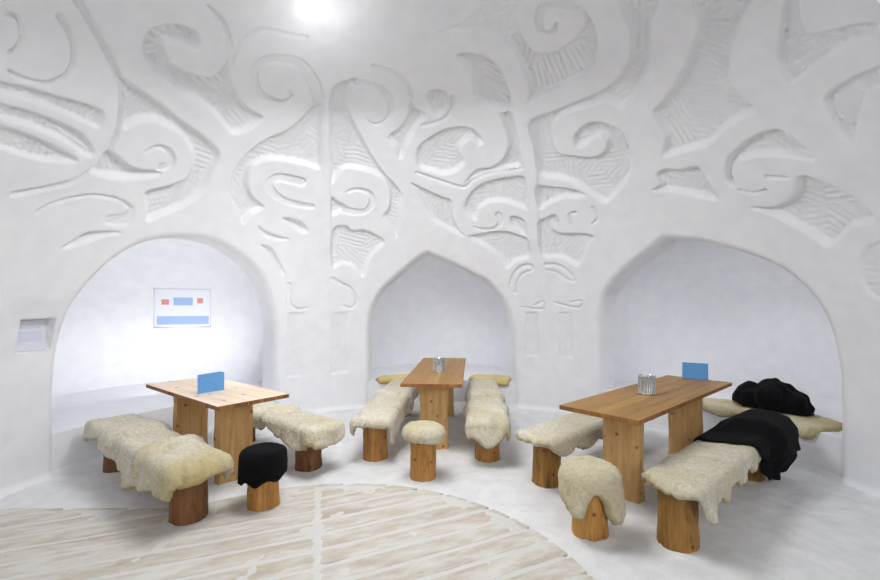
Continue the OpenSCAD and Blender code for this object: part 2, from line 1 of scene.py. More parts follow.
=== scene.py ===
# %% [markdown]
# # A dining hall of carved snow
# The object is half of a round hall, blown from snow over a form and then carved by hand. The packed
# model gives every piece its size and place. This notebook gives each of them its surface: a carved
# skin on the vault, weathered boards on the deck, split logs under the tables, and wool on the benches.

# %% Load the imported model
import math
import random
import bmesh
import bpy
import numpy as np
from mathutils import Matrix, Vector, noise


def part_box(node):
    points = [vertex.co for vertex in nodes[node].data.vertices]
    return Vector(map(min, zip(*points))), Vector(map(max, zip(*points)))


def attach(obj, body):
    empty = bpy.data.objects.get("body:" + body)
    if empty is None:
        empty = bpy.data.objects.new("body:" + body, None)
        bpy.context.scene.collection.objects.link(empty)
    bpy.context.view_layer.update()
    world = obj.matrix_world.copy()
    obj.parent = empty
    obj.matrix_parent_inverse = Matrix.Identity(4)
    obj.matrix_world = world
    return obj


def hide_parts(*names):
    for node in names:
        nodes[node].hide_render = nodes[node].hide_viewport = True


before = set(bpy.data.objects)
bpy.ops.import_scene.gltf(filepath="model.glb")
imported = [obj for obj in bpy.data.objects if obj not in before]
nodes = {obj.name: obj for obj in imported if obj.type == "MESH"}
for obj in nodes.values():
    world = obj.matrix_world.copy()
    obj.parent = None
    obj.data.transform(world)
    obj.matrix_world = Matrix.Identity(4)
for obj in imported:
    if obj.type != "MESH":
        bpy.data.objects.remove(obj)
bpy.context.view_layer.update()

# %% [markdown]
# Colours are written as sRGB hex values, as they would be read off a sample. Cycles works in linear
# light, so one function turns the one into the other. A second function adds a node with its settings
# and links in one call, which keeps each material readable from top to bottom.

# %% Helpers for materials
def colour(hex_code):
    parts = [int(hex_code[i:i + 2], 16) / 255 for i in (1, 3, 5)]
    return [p / 12.92 if p <= 0.04045 else ((p + 0.055) / 1.055) ** 2.4 for p in parts] + [1]


def add(tree, kind, settings=None, inputs=None):
    node = tree.nodes.new(kind)
    for name, value in (settings or {}).items():
        setattr(node, name, value)
    for name, value in (inputs or {}).items():
        socket = node.inputs[name]
        if isinstance(value, bpy.types.NodeSocket):
            tree.links.new(value, socket)
        else:
            socket.default_value = value
    return node


def new_material(name, rough, specular=0.5):
    material = bpy.data.materials.new(name)
    material.use_nodes = True
    tree = material.node_tree
    shader = tree.nodes["Principled BSDF"]
    shader.inputs["Roughness"].default_value = rough
    shader.inputs["Specular IOR Level"].default_value = specular
    return material, tree, shader


def ramp(tree, factor, stops):
    node = add(tree, "ShaderNodeValToRGB", inputs={"Fac": factor})
    marks = node.color_ramp.elements
    while len(marks) < len(stops):
        marks.new(0.5)
    for mark, (place, hex_code) in zip(marks, stops):
        mark.position = place
        mark.color = colour(hex_code)
    return node.outputs["Color"]


def mix(tree, factor, first, second, blend="MIX"):
    node = add(tree, "ShaderNodeMix", {"data_type": "RGBA", "blend_type": blend})
    for index, value in ((0, factor), (6, first), (7, second)):
        if isinstance(value, bpy.types.NodeSocket):
            tree.links.new(value, node.inputs[index])
        else:
            node.inputs[index].default_value = value
    return node.outputs[2]


def bump(tree, shader, height, distance, strength=1.0, under=None):
    inputs = {"Height": height, "Distance": distance, "Strength": strength}
    if under is not None:
        inputs["Normal"] = under
    node = add(tree, "ShaderNodeBump", inputs=inputs)
    tree.links.new(node.outputs["Normal"], shader.inputs["Normal"])
    return node.outputs["Normal"]

# %% [markdown]
# ## Snow
# Packed snow is a mass of ice grains. It scatters light so well that it is almost white, with a rough,
# grainy face and a faint blue in the depth. The carver's blade leaves it smooth in broad strokes, and
# grains of about 3 mm break out of it. Light that runs through the snow would soften its edges. In a
# white room that takes much of the render time and hardly shows, so it is left out.

# %% Snow materials
GRAIN = 0.003
STROKE = 0.16
ICE_TINT = ("#ebecf0", "#e4e5ea")
TRODDEN_TINT = ("#e9eaeb", "#d6d8da")
BOARDS_SHINE_THROUGH = "#c9c5bd"


def packed_snow(name, tints, grain_height, dents=2.0, dent_height=0.006):
    """Snow pressed by hand or foot. The attribute "worn" says where the boards under it show through."""
    light, dark = tints
    material, tree, shader = new_material(name, 0.72, 0.25)
    place = add(tree, "ShaderNodeTexCoord").outputs["Object"]
    cloud = add(tree, "ShaderNodeTexNoise", inputs={"Vector": place, "Scale": 1 / STROKE, "Detail": dents})
    grain = add(tree, "ShaderNodeTexNoise", inputs={"Vector": place, "Scale": 0.35 / GRAIN, "Detail": 1.0})
    tint = ramp(tree, cloud.outputs["Fac"], [(0.25, dark), (0.75, light)])
    worn = add(tree, "ShaderNodeAttribute", {"attribute_name": "worn"}).outputs["Fac"]
    tint = mix(tree, worn, tint, colour(BOARDS_SHINE_THROUGH))
    tree.links.new(tint, shader.inputs["Base Color"])
    broad = bump(tree, shader, cloud.outputs["Fac"], dent_height, 0.5)
    bump(tree, shader, grain.outputs["Fac"], grain_height, 0.5, broad)
    return material


snow = packed_snow("packed snow", ICE_TINT, 0.003)
trodden_snow = packed_snow("trodden snow", TRODDEN_TINT, 0.014, dents=5.0, dent_height=0.03)
print("made", snow.name, "and", trodden_snow.name)

# %% [markdown]
# ## Numbers of the hall
# The vault is part of a sphere that stands on a short upright wall. Every place on the wall is told by
# two numbers: a bearing in degrees, counted from +X, and a height along the wall in metres, measured
# up the curve from the floor. The carving is laid out in these, as a carver lays it out on the wall.
# A mouth is given by its bearing, its half width, its point and crown, and the flanks between them,
# in metres across the mouth's own axis and up from the floor.

# %% Hall numbers
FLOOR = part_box("snow_floor")[1][2]
CUT_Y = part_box("snow_floor")[0][1]
HALL_R = 3.58
SPRING = 0.6
PROUD = 0.026
NICHES = {
    "left": {"az": 148.0, "half": 1.20, "point": -0.05, "crown": 2.30,
             "flanks": ([(0.25, 2.27), (0.55, 2.17), (0.79, 1.98), (1.03, 1.64), (1.12, 1.37)],
                        [(-0.31, 2.25), (-0.60, 2.12), (-0.83, 1.93), (-1.02, 1.64), (-1.14, 1.28)])},
    "mid": {"az": 89.5, "half": 1.13, "point": 0.20, "crown": 2.30,
            "flanks": ([(0.32, 2.24), (0.61, 2.01), (0.89, 1.76), (1.03, 1.50), (1.08, 1.31)],
                       [(-0.26, 2.11), (-0.50, 1.99), (-0.70, 1.87), (-0.94, 1.56), (-1.08, 1.12)])},
    "right": {"az": 31.5, "half": 1.28, "point": 0.22, "crown": 2.32,
              "flanks": ([(0.65, 2.08), (0.87, 1.93), (1.06, 1.75), (1.17, 1.48)],
                         [(-0.17, 2.23), (-0.52, 2.09), (-0.86, 1.90), (-1.08, 1.65), (-1.20, 1.35)])},
}
JAMB_H = 1.05
LEFT_SPLIT = (NICHES["left"]["az"] + NICHES["mid"]["az"]) / 2
RIGHT_SPLIT = (NICHES["mid"]["az"] + NICHES["right"]["az"]) / 2


def elevation(h):
    return (h - SPRING) / HALL_R


def wall_point(az, h, inward):
    """Places on the wall, as arrays, moved inward from it by the given depth."""
    el = np.maximum(elevation(h), 0)
    low = np.minimum(h - SPRING, 0)
    r = HALL_R - inward
    a = np.radians(az)
    return np.stack([r * np.cos(el) * np.cos(a), r * np.cos(el) * np.sin(a),
                     FLOOR + SPRING + r * np.sin(el) + low], axis=1)


def wall_coords(points):
    """The bearing and the height along the wall of places on it."""
    az = (np.degrees(np.arctan2(points[:, 1], points[:, 0])) + 90) % 360 - 90
    z = points[:, 2] - FLOOR - SPRING
    el = np.arctan2(z, np.hypot(points[:, 0], points[:, 1]))
    return az, SPRING + np.where(z > 0, el * HALL_R, z)


print("hall of", 2 * HALL_R, "m, open at y", round(CUT_Y, 3), "with mouths", list(NICHES))

# %% [markdown]
# ## The carving
# The carver sinks fields about seven centimetres deep and leaves scrolls, stems and bands standing
# between them. Each field is an outline of a few points, and a curve is drawn through them. The eye of
# a scroll is a groove that grows from its inner end: a centre line with a width at either end.

# %% Fields sunk into the wall
# Carved relief: the outline of each sunk field, going round once, as bearing and height along the wall
relief_left = [
    # Hook over the left band, with its long hatched tail
    [(170.8, 4.14), (172.5, 4.23), (176, 4.25), (180, 4.18), (182, 4.04), (180.5, 3.92), (176, 3.81),
        (170, 3.78), (160, 3.75), (155, 3.70), (150, 3.61), (147, 3.70), (145.2, 3.89), (150, 3.92),
        (155, 4.00), (160, 4.14), (162.3, 4.22), (162.6, 4.05), (165, 3.98), (170, 3.93), (174, 3.95),
        (177.5, 4.03), (174.5, 4.10)],
    # Field round the lower left scroll
    [(178.5, 3.61), (170, 3.60), (160, 3.52), (154, 3.45), (150.2, 3.34), (150, 3.10), (150.3, 2.90),
        (152, 2.74), (155, 2.60), (158.3, 2.46), (159.2, 2.60), (160.8, 2.75), (157, 2.88), (154.6, 3.00),
        (154.6, 3.15), (156, 3.28), (160, 3.40), (165, 3.43), (168.5, 3.37), (170.3, 3.25), (171.8, 3.35),
        (174.5, 3.50)],
    [(170.4, 3.03), (171, 2.88), (170.8, 2.79), (165, 2.82), (160.6, 2.92), (160, 2.99), (165, 2.95)],
    # Notched wedge under the left scroll
    [(170.3, 2.08), (169, 2.15), (167, 2.27), (162, 2.31), (165, 2.24), (168, 2.13)],
    # Field left of the first stem, round the hanging scroll
    [(131.3, 4.28), (128.6, 4.02), (126.6, 3.75), (125.2, 3.48), (129, 3.49), (135, 3.48), (139, 3.44),
        (142, 3.31), (141.6, 3.13), (139.5, 2.97), (136, 2.86), (138.5, 2.75), (139.8, 2.60),
        (142, 2.75), (144.6, 2.95), (145.6, 3.20), (144.6, 3.45), (141.5, 3.68), (138, 3.82),
        (135.3, 4.02), (134.5, 4.14)],
    [(131.5, 2.75), (128, 2.76), (125.5, 2.70), (124.3, 2.60), (126, 2.58), (128.5, 2.66)],
    [(136.5, 2.62), (134, 2.55), (130, 2.50), (128.5, 2.48), (131, 2.45), (134.5, 2.50)],
    [(134.8, 2.36), (132.5, 2.35), (130.5, 2.22), (128.6, 2.05), (128.8, 1.97), (130.5, 2.10), (133, 2.28)]
]
relief_mid = [
    # Field right of the first stem
    [(130.3, 4.47), (127, 4.62), (123.5, 4.66), (123.6, 4.42), (121.5, 4.25), (117, 4.05), (112, 3.80),
        (107, 3.55), (103.5, 3.40), (100.9, 3.25), (100.7, 3.00), (101, 2.78), (101.6, 2.60),
        (103.5, 2.76), (105.8, 2.90), (104.3, 3.05), (104.6, 3.28), (107, 3.45), (111, 3.53),
        (116, 3.55), (119, 3.50), (120.9, 3.30), (122, 3.50), (124.5, 3.82), (127, 4.12)],
    [(120.2, 3.12), (119.3, 2.87), (116.5, 2.95), (116.3, 3.03), (118.5, 3.08)],
    [(118.4, 2.66), (115.3, 2.74), (113.5, 2.68), (110.5, 2.70), (106.5, 2.62), (104.6, 2.52),
        (106.5, 2.40), (108.5, 2.22), (109.6, 1.98), (112, 2.13), (115, 2.17), (117.4, 2.13)],
    # Wedge between the two upper scrolls
    [(101.3, 4.52), (99.3, 4.45), (95.2, 4.36), (98, 4.20), (100.3, 4.00), (102.3, 3.74), (104.5, 3.90),
        (107.3, 4.04), (104, 4.16), (101.8, 4.32)],
    # Ring over the middle band
    [(95.5, 4.60), (93, 4.68), (89, 4.68), (87, 4.62), (86.3, 4.52), (88, 4.42), (91, 4.35)],
    # Fields over and under the middle band
    [(97.3, 3.90), (94, 4.05), (88, 4.18), (82, 4.20), (78, 4.14), (75.6, 3.98), (77.5, 3.94), (80, 4.03),
        (83, 3.95), (83.6, 3.85), (82.3, 3.72), (84, 3.62), (88, 3.55), (92, 3.58), (96.8, 3.66)],
    [(83, 3.40), (80, 3.48), (75, 3.55), (68, 3.58), (65.2, 3.57), (64.8, 3.80), (64.6, 4.05),
        (64.3, 4.30), (68.5, 4.30), (67.8, 4.10), (67.7, 3.95), (68.5, 3.85), (71, 3.70), (74.5, 3.62),
        (79, 3.60)],
    [(98.6, 3.42), (95, 3.35), (90, 3.24), (86.8, 3.17), (86.4, 2.95), (85, 2.75), (83.2, 2.62),
        (86, 2.69), (89, 2.78), (92, 2.88), (94.5, 3.10), (96.5, 3.28)],
    # Fields left of the second stem
    [(81.5, 5.08), (76.5, 5.10), (70, 5.06), (66, 4.97), (63.5, 4.83), (62.8, 4.60), (63.4, 4.35),
        (67, 4.33), (71, 4.42), (75, 4.47), (76.7, 4.62), (76.3, 4.80), (78.5, 4.95)],
    [(83.2, 3.04), (82, 3.22), (79, 3.37), (75, 3.44), (70, 3.46), (65.3, 3.44), (65.4, 3.20),
        (65.9, 2.98), (68, 3.03), (72, 3.12), (76, 3.12), (79, 3.03), (79.9, 2.88), (81.5, 2.90)],
    [(70.5, 2.90), (67.2, 2.83), (67.3, 2.60), (69, 2.68), (70.7, 2.78)],
    [(82.5, 2.62), (79, 2.66), (76, 2.70), (72, 2.68), (69, 2.62), (67, 2.55), (66.7, 2.30),
        (70.5, 2.22), (72.8, 2.12), (74.5, 2.30), (78, 2.46)]
]
relief_right = [
    # Fields right of the second stem
    [(59.3, 4.15), (50, 4.20), (42, 4.22), (33, 4.20), (38, 4.11), (46, 4.14), (50, 4.09), (53.3, 3.97),
        (54.4, 3.80), (53.7, 3.67), (50, 3.60), (45, 3.53), (41.8, 3.57), (40.3, 3.68), (41.5, 3.76),
        (44.5, 3.72), (46.5, 3.68), (48.6, 3.70), (48.4, 3.82), (46, 3.90), (42, 3.94), (38.5, 3.88),
        (35.7, 3.75), (35.1, 3.58), (36, 3.40), (39, 3.18), (43, 3.02), (45.8, 2.94), (48, 3.02),
        (51, 3.20), (55, 3.33), (60.4, 3.43), (60.7, 3.60), (60.2, 3.85)],
    [(62.4, 3.28), (58.5, 3.26), (53, 3.18), (50.2, 3.08), (52, 3.05), (56, 3.08), (60, 3.03),
        (62.8, 2.98)],
    [(63.6, 2.76), (61.5, 2.84), (58.9, 2.87), (58.6, 2.75), (60, 2.66), (58, 2.60), (54, 2.58),
        (50.6, 2.52), (52.5, 2.38), (54.5, 2.17), (56, 2.13), (59, 2.25), (63.8, 2.30)],
    # Crescent at the top
    [(57.5, 4.38), (52, 4.41), (45, 4.42), (38, 4.43), (33, 4.47), (28, 4.58), (24, 4.70), (20, 4.86),
        (18, 5.00), (22, 4.87), (28, 4.82), (35, 4.80), (41, 4.81), (45.5, 4.87), (47.5, 4.97),
        (48, 5.14), (54.5, 5.10), (54.9, 4.75), (55.3, 4.55)],
    # Bands that run down to the right
    [(36, 4.20), (30, 4.24), (25, 4.30), (20, 4.40), (15, 4.54), (11, 4.69), (8, 4.69), (4.3, 4.57),
        (8, 4.50), (12, 4.41), (17, 4.27), (22, 4.15), (27, 4.03), (31.8, 3.96), (34, 4.05)],
    [(29.4, 3.32), (26.8, 3.50), (26.2, 3.78), (22, 3.85), (17, 3.94), (12, 4.02), (7, 4.12), (0, 4.23),
        (-3, 4.27), (-3, 4.00), (1, 3.93), (5, 3.78), (7.3, 3.68), (6.8, 3.40), (11, 3.40), (16, 3.34),
        (20, 3.28), (25, 3.30)],
    [(34.7, 2.97), (32.6, 3.02), (32.4, 3.14), (30, 3.18), (27, 3.12), (23.3, 3.10), (23, 2.90),
        (22.7, 2.72), (27, 2.82), (31, 2.92)],
    [(19.5, 2.86), (18.7, 3.00), (16.5, 3.11), (12, 3.19), (8, 3.20), (5.3, 3.13), (3.8, 2.84),
        (7, 2.92), (11, 3.01), (15.5, 3.04), (17.8, 2.95), (18.4, 2.80)],
    [(17.4, 2.57), (14, 2.53), (10, 2.58), (7.7, 2.74), (5, 2.66), (2.5, 2.47), (1, 2.24), (4.5, 2.22),
        (8.3, 2.09), (10.5, 2.22), (14, 2.42)]
]
# Fields cut less deep, only into the thickness of the finished face
shallow = [
    # Leaves of the side panel
    [(192.3, 3.09), (190.2, 3.14), (187.5, 3.19), (182.7, 3.25), (176.2, 3.31), (174.5, 3.18),
        (177.2, 3.17), (181.2, 3.16), (186.4, 3.13), (189.2, 3.08), (191.3, 3.04)],
    [(190.2, 2.99), (187.9, 3.02), (185.6, 3.05), (181.2, 3.08), (176.3, 3.07), (173.0, 2.99),
        (172.6, 2.92), (174.6, 2.93), (178.4, 2.97), (183.4, 2.97), (186.8, 2.94), (189.3, 2.92)],
    [(189.0, 2.86), (186.4, 2.88), (184.1, 2.90), (179.2, 2.90), (174.3, 2.86), (176.6, 2.80),
        (180.8, 2.76), (184.8, 2.75), (187.3, 2.75)],
    # Wedges at the right end of the vault
    [(-13.4, 3.88), (-8.3, 3.78), (-5.4, 3.71), (-2.8, 3.60), (-1.1, 3.44), (-3.5, 3.44), (-8.4, 3.45),
        (-11.8, 3.44), (-16.4, 3.37), (-16.9, 3.42), (-14.5, 3.50), (-12.0, 3.56), (-10.2, 3.64),
        (-11.8, 3.75), (-14.4, 3.83)],
    [(-3.5, 3.21), (-8.4, 3.24), (-11.7, 3.21), (-14.9, 3.18), (-13.1, 3.09), (-9.7, 3.11), (-7.5, 3.08),
        (-4.3, 2.95), (-2.4, 2.85), (-2.1, 2.95)],
    # Round field over the right end
    [(-4.0, 2.07), (2.0, 2.07), (3.8, 2.02), (5.0, 1.93), (5.6, 1.83), (5.4, 1.72), (4.0, 1.61),
        (-3.0, 1.60)],
    # Small field at the end of the long leaf
    [(165.4, 2.44), (162.7, 2.50), (162.0, 2.59), (161.0, 2.51), (161.4, 2.40), (164.8, 2.36)],
    # Upper ends of three fields, close under the crown
    [(91.7, 5.34), (79.2, 5.41), (68.5, 5.48), (56.0, 5.59), (49.3, 5.66), (30.4, 5.47), (44.2, 5.28),
        (47.4, 5.07), (46.8, 4.86), (50.5, 4.75), (55.0, 5.03), (58.7, 5.22), (66.4, 5.32), (79.8, 5.35)],
    [(4.6, 4.81), (-0.2, 4.61), (6.0, 4.52), (9.7, 4.56), (10.8, 4.68)],
    [(-5.2, 4.36), (-10.6, 4.08), (-6.3, 4.04), (-1.8, 3.98), (1.4, 4.04), (0.5, 4.22)]
]


# %% Grooves, each with its points, its width at the start and at the end
GROOVES = [
    # Edge of the side panel
    ([(195, 3.80), (191, 3.78), (185, 3.72), (180, 3.64), (175, 3.48), (173, 3.35), (171.3, 3.2),
      (170.3, 3.0), (171, 2.85), (172.5, 2.7), (175, 2.6), (179.5, 2.45)], 0.04, 0.04),
    ([(175.6, 2.35), (173.3, 2.48), (169.1, 2.6), (164.6, 2.62), (161.9, 2.56)], 0.02, 0.03),
    ([(191.4, 3.21), (188.6, 3.23), (186.3, 3.29), (185.2, 3.41), (186.8, 3.53), (190.0, 3.62),
      (194, 3.66)], 0.03, 0.03),
    ([(198.1, 3.46), (197.2, 3.48), (195.1, 3.45), (193.6, 3.38), (193.5, 3.31)], 0.03, 0.03),
    # Upper left scroll
    ([(180, 4.45), (175, 4.46), (170, 4.43), (165, 4.33), (163.3, 4.27)], 0.03, 0.05),
    ([(162, 4.22), (163.5, 4.32), (164.2, 4.48), (163.5, 4.62), (160, 4.70), (155, 4.76), (150, 4.83)],
     0.06, 0.03),
    ([(142.5, 4.27), (141, 4.2), (144, 4.11), (150, 4.13), (155, 4.28), (154, 4.45), (146, 4.57),
      (138, 4.47), (133, 4.3)], 0.02, 0.12),
    # Lower left scroll and hanging scroll
    ([(164.3, 3.13), (163, 3.21), (161, 3.22), (159.3, 3.16), (159, 3.08), (160.3, 3.03)], 0.03, 0.07),
    ([(124.6, 2.96), (128, 2.96), (132.1, 2.99), (135.3, 3.07), (136.6, 3.17), (135, 3.26), (131.5, 3.27),
      (129, 3.26)], 0.06, 0.11),
    # Scrolls between the first stem and the middle
    ([(116, 4.23), (112.5, 4.17), (109.3, 4.24), (108, 4.38), (109.7, 4.54), (114.5, 4.63),
      (119.5, 4.64), (124, 4.60), (127, 4.50)], 0.02, 0.09),
    ([(120, 4.87), (112, 4.86), (107, 4.8), (104, 4.73), (101.5, 4.58)], 0.03, 0.05),
    ([(116.3, 3.22), (113.9, 3.27), (110.6, 3.25), (109.2, 3.16), (109.3, 3.05), (110.9, 2.96),
      (114.4, 2.95), (118.7, 3.0)], 0.03, 0.10),
    ([(109.5, 2.5), (108.6, 2.53), (108.4, 2.47), (109.2, 2.45)], 0.04, 0.04),
    ([(85.2, 4.6), (85.5, 4.45), (88, 4.32), (92, 4.26), (96, 4.22)], 0.03, 0.05),
    ([(97, 3.57), (88, 3.43), (83, 3.36), (80, 3.46), (75, 3.54), (65.2, 3.55)], 0.04, 0.04),
    ([(80.6, 2.76), (78, 2.72), (74.8, 2.74), (73.5, 2.83), (73.8, 2.93)], 0.03, 0.08),
    # Scrolls right of the second stem
    ([(20, 5.05), (24, 5.17), (30, 5.22), (36, 5.15), (38.3, 5.05), (35, 4.99), (31, 5.03)], 0.08, 0.03),
    ([(18, 2.76), (16, 2.7), (13.5, 2.7)], 0.03, 0.03),
    ([(12.4, 2.82), (9.5, 2.76)], 0.03, 0.03),
    ([(55.4, 2.72), (55.3, 2.84), (54, 2.86)], 0.03, 0.05),
    ([(49.2, 2.9), (48.8, 2.75), (50.5, 2.68)], 0.04, 0.03),
    # Volutes of the two pillars
    ([(127, 1.85), (127, 1.7), (126.3, 1.58), (124.5, 1.5), (122.5, 1.52)], 0.05, 0.03),
    ([(117, 1.95), (115, 1.88), (113, 1.83), (111.3, 1.7), (110.8, 1.6), (112, 1.52), (113.8, 1.55)],
     0.05, 0.03),
    ([(72, 1.88), (71.2, 2.02), (69.3, 2.14), (66.8, 2.16), (66.7, 2.08), (68.8, 2.04), (70.3, 1.92),
      (70.9, 1.75), (71.5, 1.76)], 0.05, 0.03),
    ([(63.1, 2.16), (60.5, 2.15), (58, 2.05), (56.7, 1.92), (58.3, 1.93), (60.5, 2.04), (62.9, 2.08)],
     0.05, 0.03),
    ([(69.7, 1.53), (64.6, 1.5), (64.4, 1.61), (66.5, 1.56)], 0.03, 0.03),
    ([(61.7, 1.6), (59, 1.55), (56, 1.53), (55.4, 1.62), (58, 1.6)], 0.03, 0.03),
]
# Ribbed strips on the pillars, from bearing to bearing and from height to height
STRIPS = [(123.0, 126.5, 0.55, 1.45), (112.5, 116.4, 0.55, 1.45), (66.0, 69.0, 0.8, 1.45),
          (58.0, 61.0, 0.8, 1.45)]
# The two stems that stand proud between the bays
STEMS = [
    [(131, 4.3), (128, 4.0), (126, 3.7), (125, 3.5), (124, 3.1), (122.8, 2.85), (121, 2.15),
     (117.5, 2.15), (118.6, 2.65), (120.2, 3.1), (121.5, 3.35), (124.5, 3.8), (127, 4.1), (130, 4.4)],
    [(64.3, 4.3), (65.2, 3.5), (65.8, 3.0), (66.5, 2.7), (66.7, 2.3), (63.8, 2.35), (62.7, 3.0),
     (60.8, 3.5), (59.4, 4.1)],
]
FIELDS = relief_left + relief_mid + relief_right
print(len(FIELDS), "deep fields,", len(shallow), "shallow ones,", len(GROOVES), "grooves")

# %% [markdown]
# A field is measured on the flat plane that touches the wall at its middle, so its sides come out
# square to the wall. The distance to the outline, counted inward, says how deep a place lies: the wall
# rolls over a small arris, falls, and meets the floor of the field, which the blade has left in rows
# of slanting cuts. Patches of cuts run in different directions, as a hand shifts its stance.

# %% How thick the finished face is
END_PROUD = 0.026


def smooth(x):
    """A soft step from 0 to 1."""
    x = np.clip(x, 0, 1)
    return x * x * (3 - 2 * x)


def face(az, h):
    """The face's thickness. It is thicker high up at both ends, where its fields are deep."""
    return PROUD + END_PROUD * smooth((np.abs(az - 95) - 72) / 12) * smooth((h - 2.4) / 0.3)


print("face", PROUD, "m thick, and", PROUD + END_PROUD, "m at the ends")

# %% Outlines as smooth curves, and distances from them
def through(points, closed, parts=4):
    """Points of a smooth curve through the given ones, as a Catmull-Rom spline has it."""
    n = len(points)
    p = np.array(points, float)
    out = []
    for i in range(n if closed else n - 1):
        before = p[(i - 1) % n] if closed or i > 0 else 2 * p[0] - p[1]
        after = p[(i + 2) % n] if closed or i < n - 2 else 2 * p[-1] - p[-2]
        a, b = p[i], p[(i + 1) % n]
        for k in range(parts):
            t = k / parts
            out.append(0.5 * (2 * a + (b - before) * t + (2 * before - 5 * a + 4 * b - after) * t * t
                              + (3 * a - before - 3 * b + after) * t ** 3))
    if not closed:
        out.append(p[-1])
    return np.array(out)


def flat(az, h, middle):
    """Places on the wall as seen square on at a middle place, in metres."""
    e, a = elevation(h), np.radians(az - middle[0])
    e0 = elevation(middle[1])
    return np.stack([HALL_R * np.cos(e) * np.sin(a),
                     HALL_R * (np.sin(e) * np.cos(e0) - np.cos(e) * np.cos(a) * np.sin(e0))], axis=1)


def edge_distance(q, line, closed):
    """Distance from places to a line of points, and how far along it the nearest point lies."""
    best = np.full(len(q), 1e9)
    along = np.zeros(len(q))
    count = len(line) if closed else len(line) - 1
    for i in range(count):
        a, b = line[i], line[(i + 1) % len(line)]
        ab = b - a
        t = np.clip(((q - a) @ ab) / max(ab @ ab, 1e-12), 0, 1)
        d = np.hypot(*(q - a - t[:, None] * ab).T)
        nearer = d < best
        best = np.where(nearer, d, best)
        along = np.where(nearer, (i + t) / count, along)
    return best, along


def inside(q, line):
    """Which places lie within a closed line: those from which a ray crosses it an odd number of times."""
    hit = np.zeros(len(q), bool)
    for (x0, y0), (x1, y1) in zip(line, np.roll(line, -1, axis=0)):
        if y0 != y1:
            crosses = (y0 > q[:, 1]) != (y1 > q[:, 1])
            hit ^= crosses & (q[:, 0] < x0 + (q[:, 1] - y0) * (x1 - x0) / (y1 - y0))
    return hit


def nearest_on(q, line):
    """The place on a closed line that lies nearest to one place."""
    best, place = 1e9, q
    for a, b in zip(line, np.roll(line, -1, axis=0)):
        ab = b - a
        t = min(max(((q - a) @ ab) / max(ab @ ab, 1e-12), 0), 1)
        p = a + t * ab
        d = np.hypot(*(q - p))
        if d < best:
            best, place = d, p
    return place


def near(az, h, outline, margin):
    """Which places lie close enough to an outline to be touched by it."""
    o = np.array(outline)
    reach = margin / HALL_R
    wide = np.degrees(reach) / max(0.2, math.cos(elevation(o[:, 1].max())))
    return ((az > o[:, 0].min() - wide) & (az < o[:, 0].max() + wide)
            & (h > o[:, 1].min() - margin) & (h < o[:, 1].max() + margin))

# %% Depth of one field, groove, strip or stem
DEPTH = 0.072
ARRIS = 0.012
FALL = 0.045
CUT_PITCH = 0.055
CUT_DEPTH = 0.021
PATCH = 0.27
PATCH_JITTER = 0.35
BLADE_ANGLES = (15, 50, 95, 140)
BLADE_SWAY = 12
SHALLOW = 0.024
SHALLOW_CUT = 0.45
GROOVE_DEEPEST = 0.8
GROOVE_SLOPE = 1.55
GROOVE_EASE = 0.010
BACKING = 0.003
STEM_FOOT = (2.25, 0.35)
STEM_RISE = 0.022
STEM_EDGE = 0.03


def cuts(q, rng):
    """Rows of slanting cuts in patches, from 0 to 1."""
    low, high = q.min(axis=0), q.max(axis=0)
    seeds = np.array([(x + rng.uniform(-PATCH_JITTER, PATCH_JITTER) * PATCH,
                       y + rng.uniform(-PATCH_JITTER, PATCH_JITTER) * PATCH)
                      for x in np.arange(low[0], high[0] + PATCH, PATCH)
                      for y in np.arange(low[1], high[1] + PATCH, PATCH)])
    turn = np.radians([rng.choice(BLADE_ANGLES) + rng.uniform(-BLADE_SWAY, BLADE_SWAY) for _ in seeds])
    own = np.argmin(((q[:, None, :] - seeds[None]) ** 2).sum(axis=2), axis=1)
    across = q[:, 0] * np.cos(turn[own]) + q[:, 1] * np.sin(turn[own])
    return (across / CUT_PITCH) % 1


def field_depth(az, h, outline, rng, depth, cut, fall):
    """A sunk field: over the arris, down the side, and onto the rows that the blade has left."""
    middle = np.mean([np.min(outline, axis=0), np.max(outline, axis=0)], axis=0)
    line = through(outline, True)
    line = flat(line[:, 0], line[:, 1], middle)
    q = flat(az, h, middle)
    d, _ = edge_distance(q, line, True)
    d = np.where(inside(q, line), d, -d)
    deep = depth * smooth((d + ARRIS) / (fall + ARRIS))
    row = cut * cuts(q, rng) * smooth((d - 0.3 * fall) / fall)
    return deep - row


def groove_depth(az, h, groove):
    """A groove, the deeper the wider it is."""
    points, start, end = groove
    middle = np.mean(points, axis=0)
    line = through(points, False)
    line = flat(line[:, 0], line[:, 1], middle)
    d, along = edge_distance(flat(az, h, middle), line, False)
    half = (start + (end - start) * along) / 2
    deep = np.minimum(GROOVE_DEEPEST * DEPTH, GROOVE_SLOPE * half)
    return deep * smooth((half - d) / np.maximum(half * 0.6, GROOVE_EASE) + 0.3)


def strip_depth(az, h, strip):
    """A shallow upright strip with slanting ribs."""
    left, right, low, high = strip
    side = np.radians(np.minimum(az - left, right - az)) * HALL_R
    d = np.minimum(side, np.minimum(h - low, high - h))
    row = ((h + 0.6 * np.radians(az) * HALL_R) / CUT_PITCH) % 1
    return smooth((d + ARRIS) / SHALLOW) * (PROUD - BACKING - SHALLOW_CUT * PROUD * row)


def stem_rise(az, h, outline):
    """How far a stem stands out of the wall. It grows out of the pillar at its foot."""
    middle = np.mean(outline, axis=0)
    line = through(outline, True)
    line = flat(line[:, 0], line[:, 1], middle)
    q = flat(az, h, middle)
    d, _ = edge_distance(q, line, True)
    foot = smooth((h - STEM_FOOT[0]) / STEM_FOOT[1])
    return STEM_RISE * foot * smooth(np.where(inside(q, line), d, -d) / STEM_EDGE)


print("fields sunk", DEPTH, "m, with cuts", CUT_PITCH, "m apart")

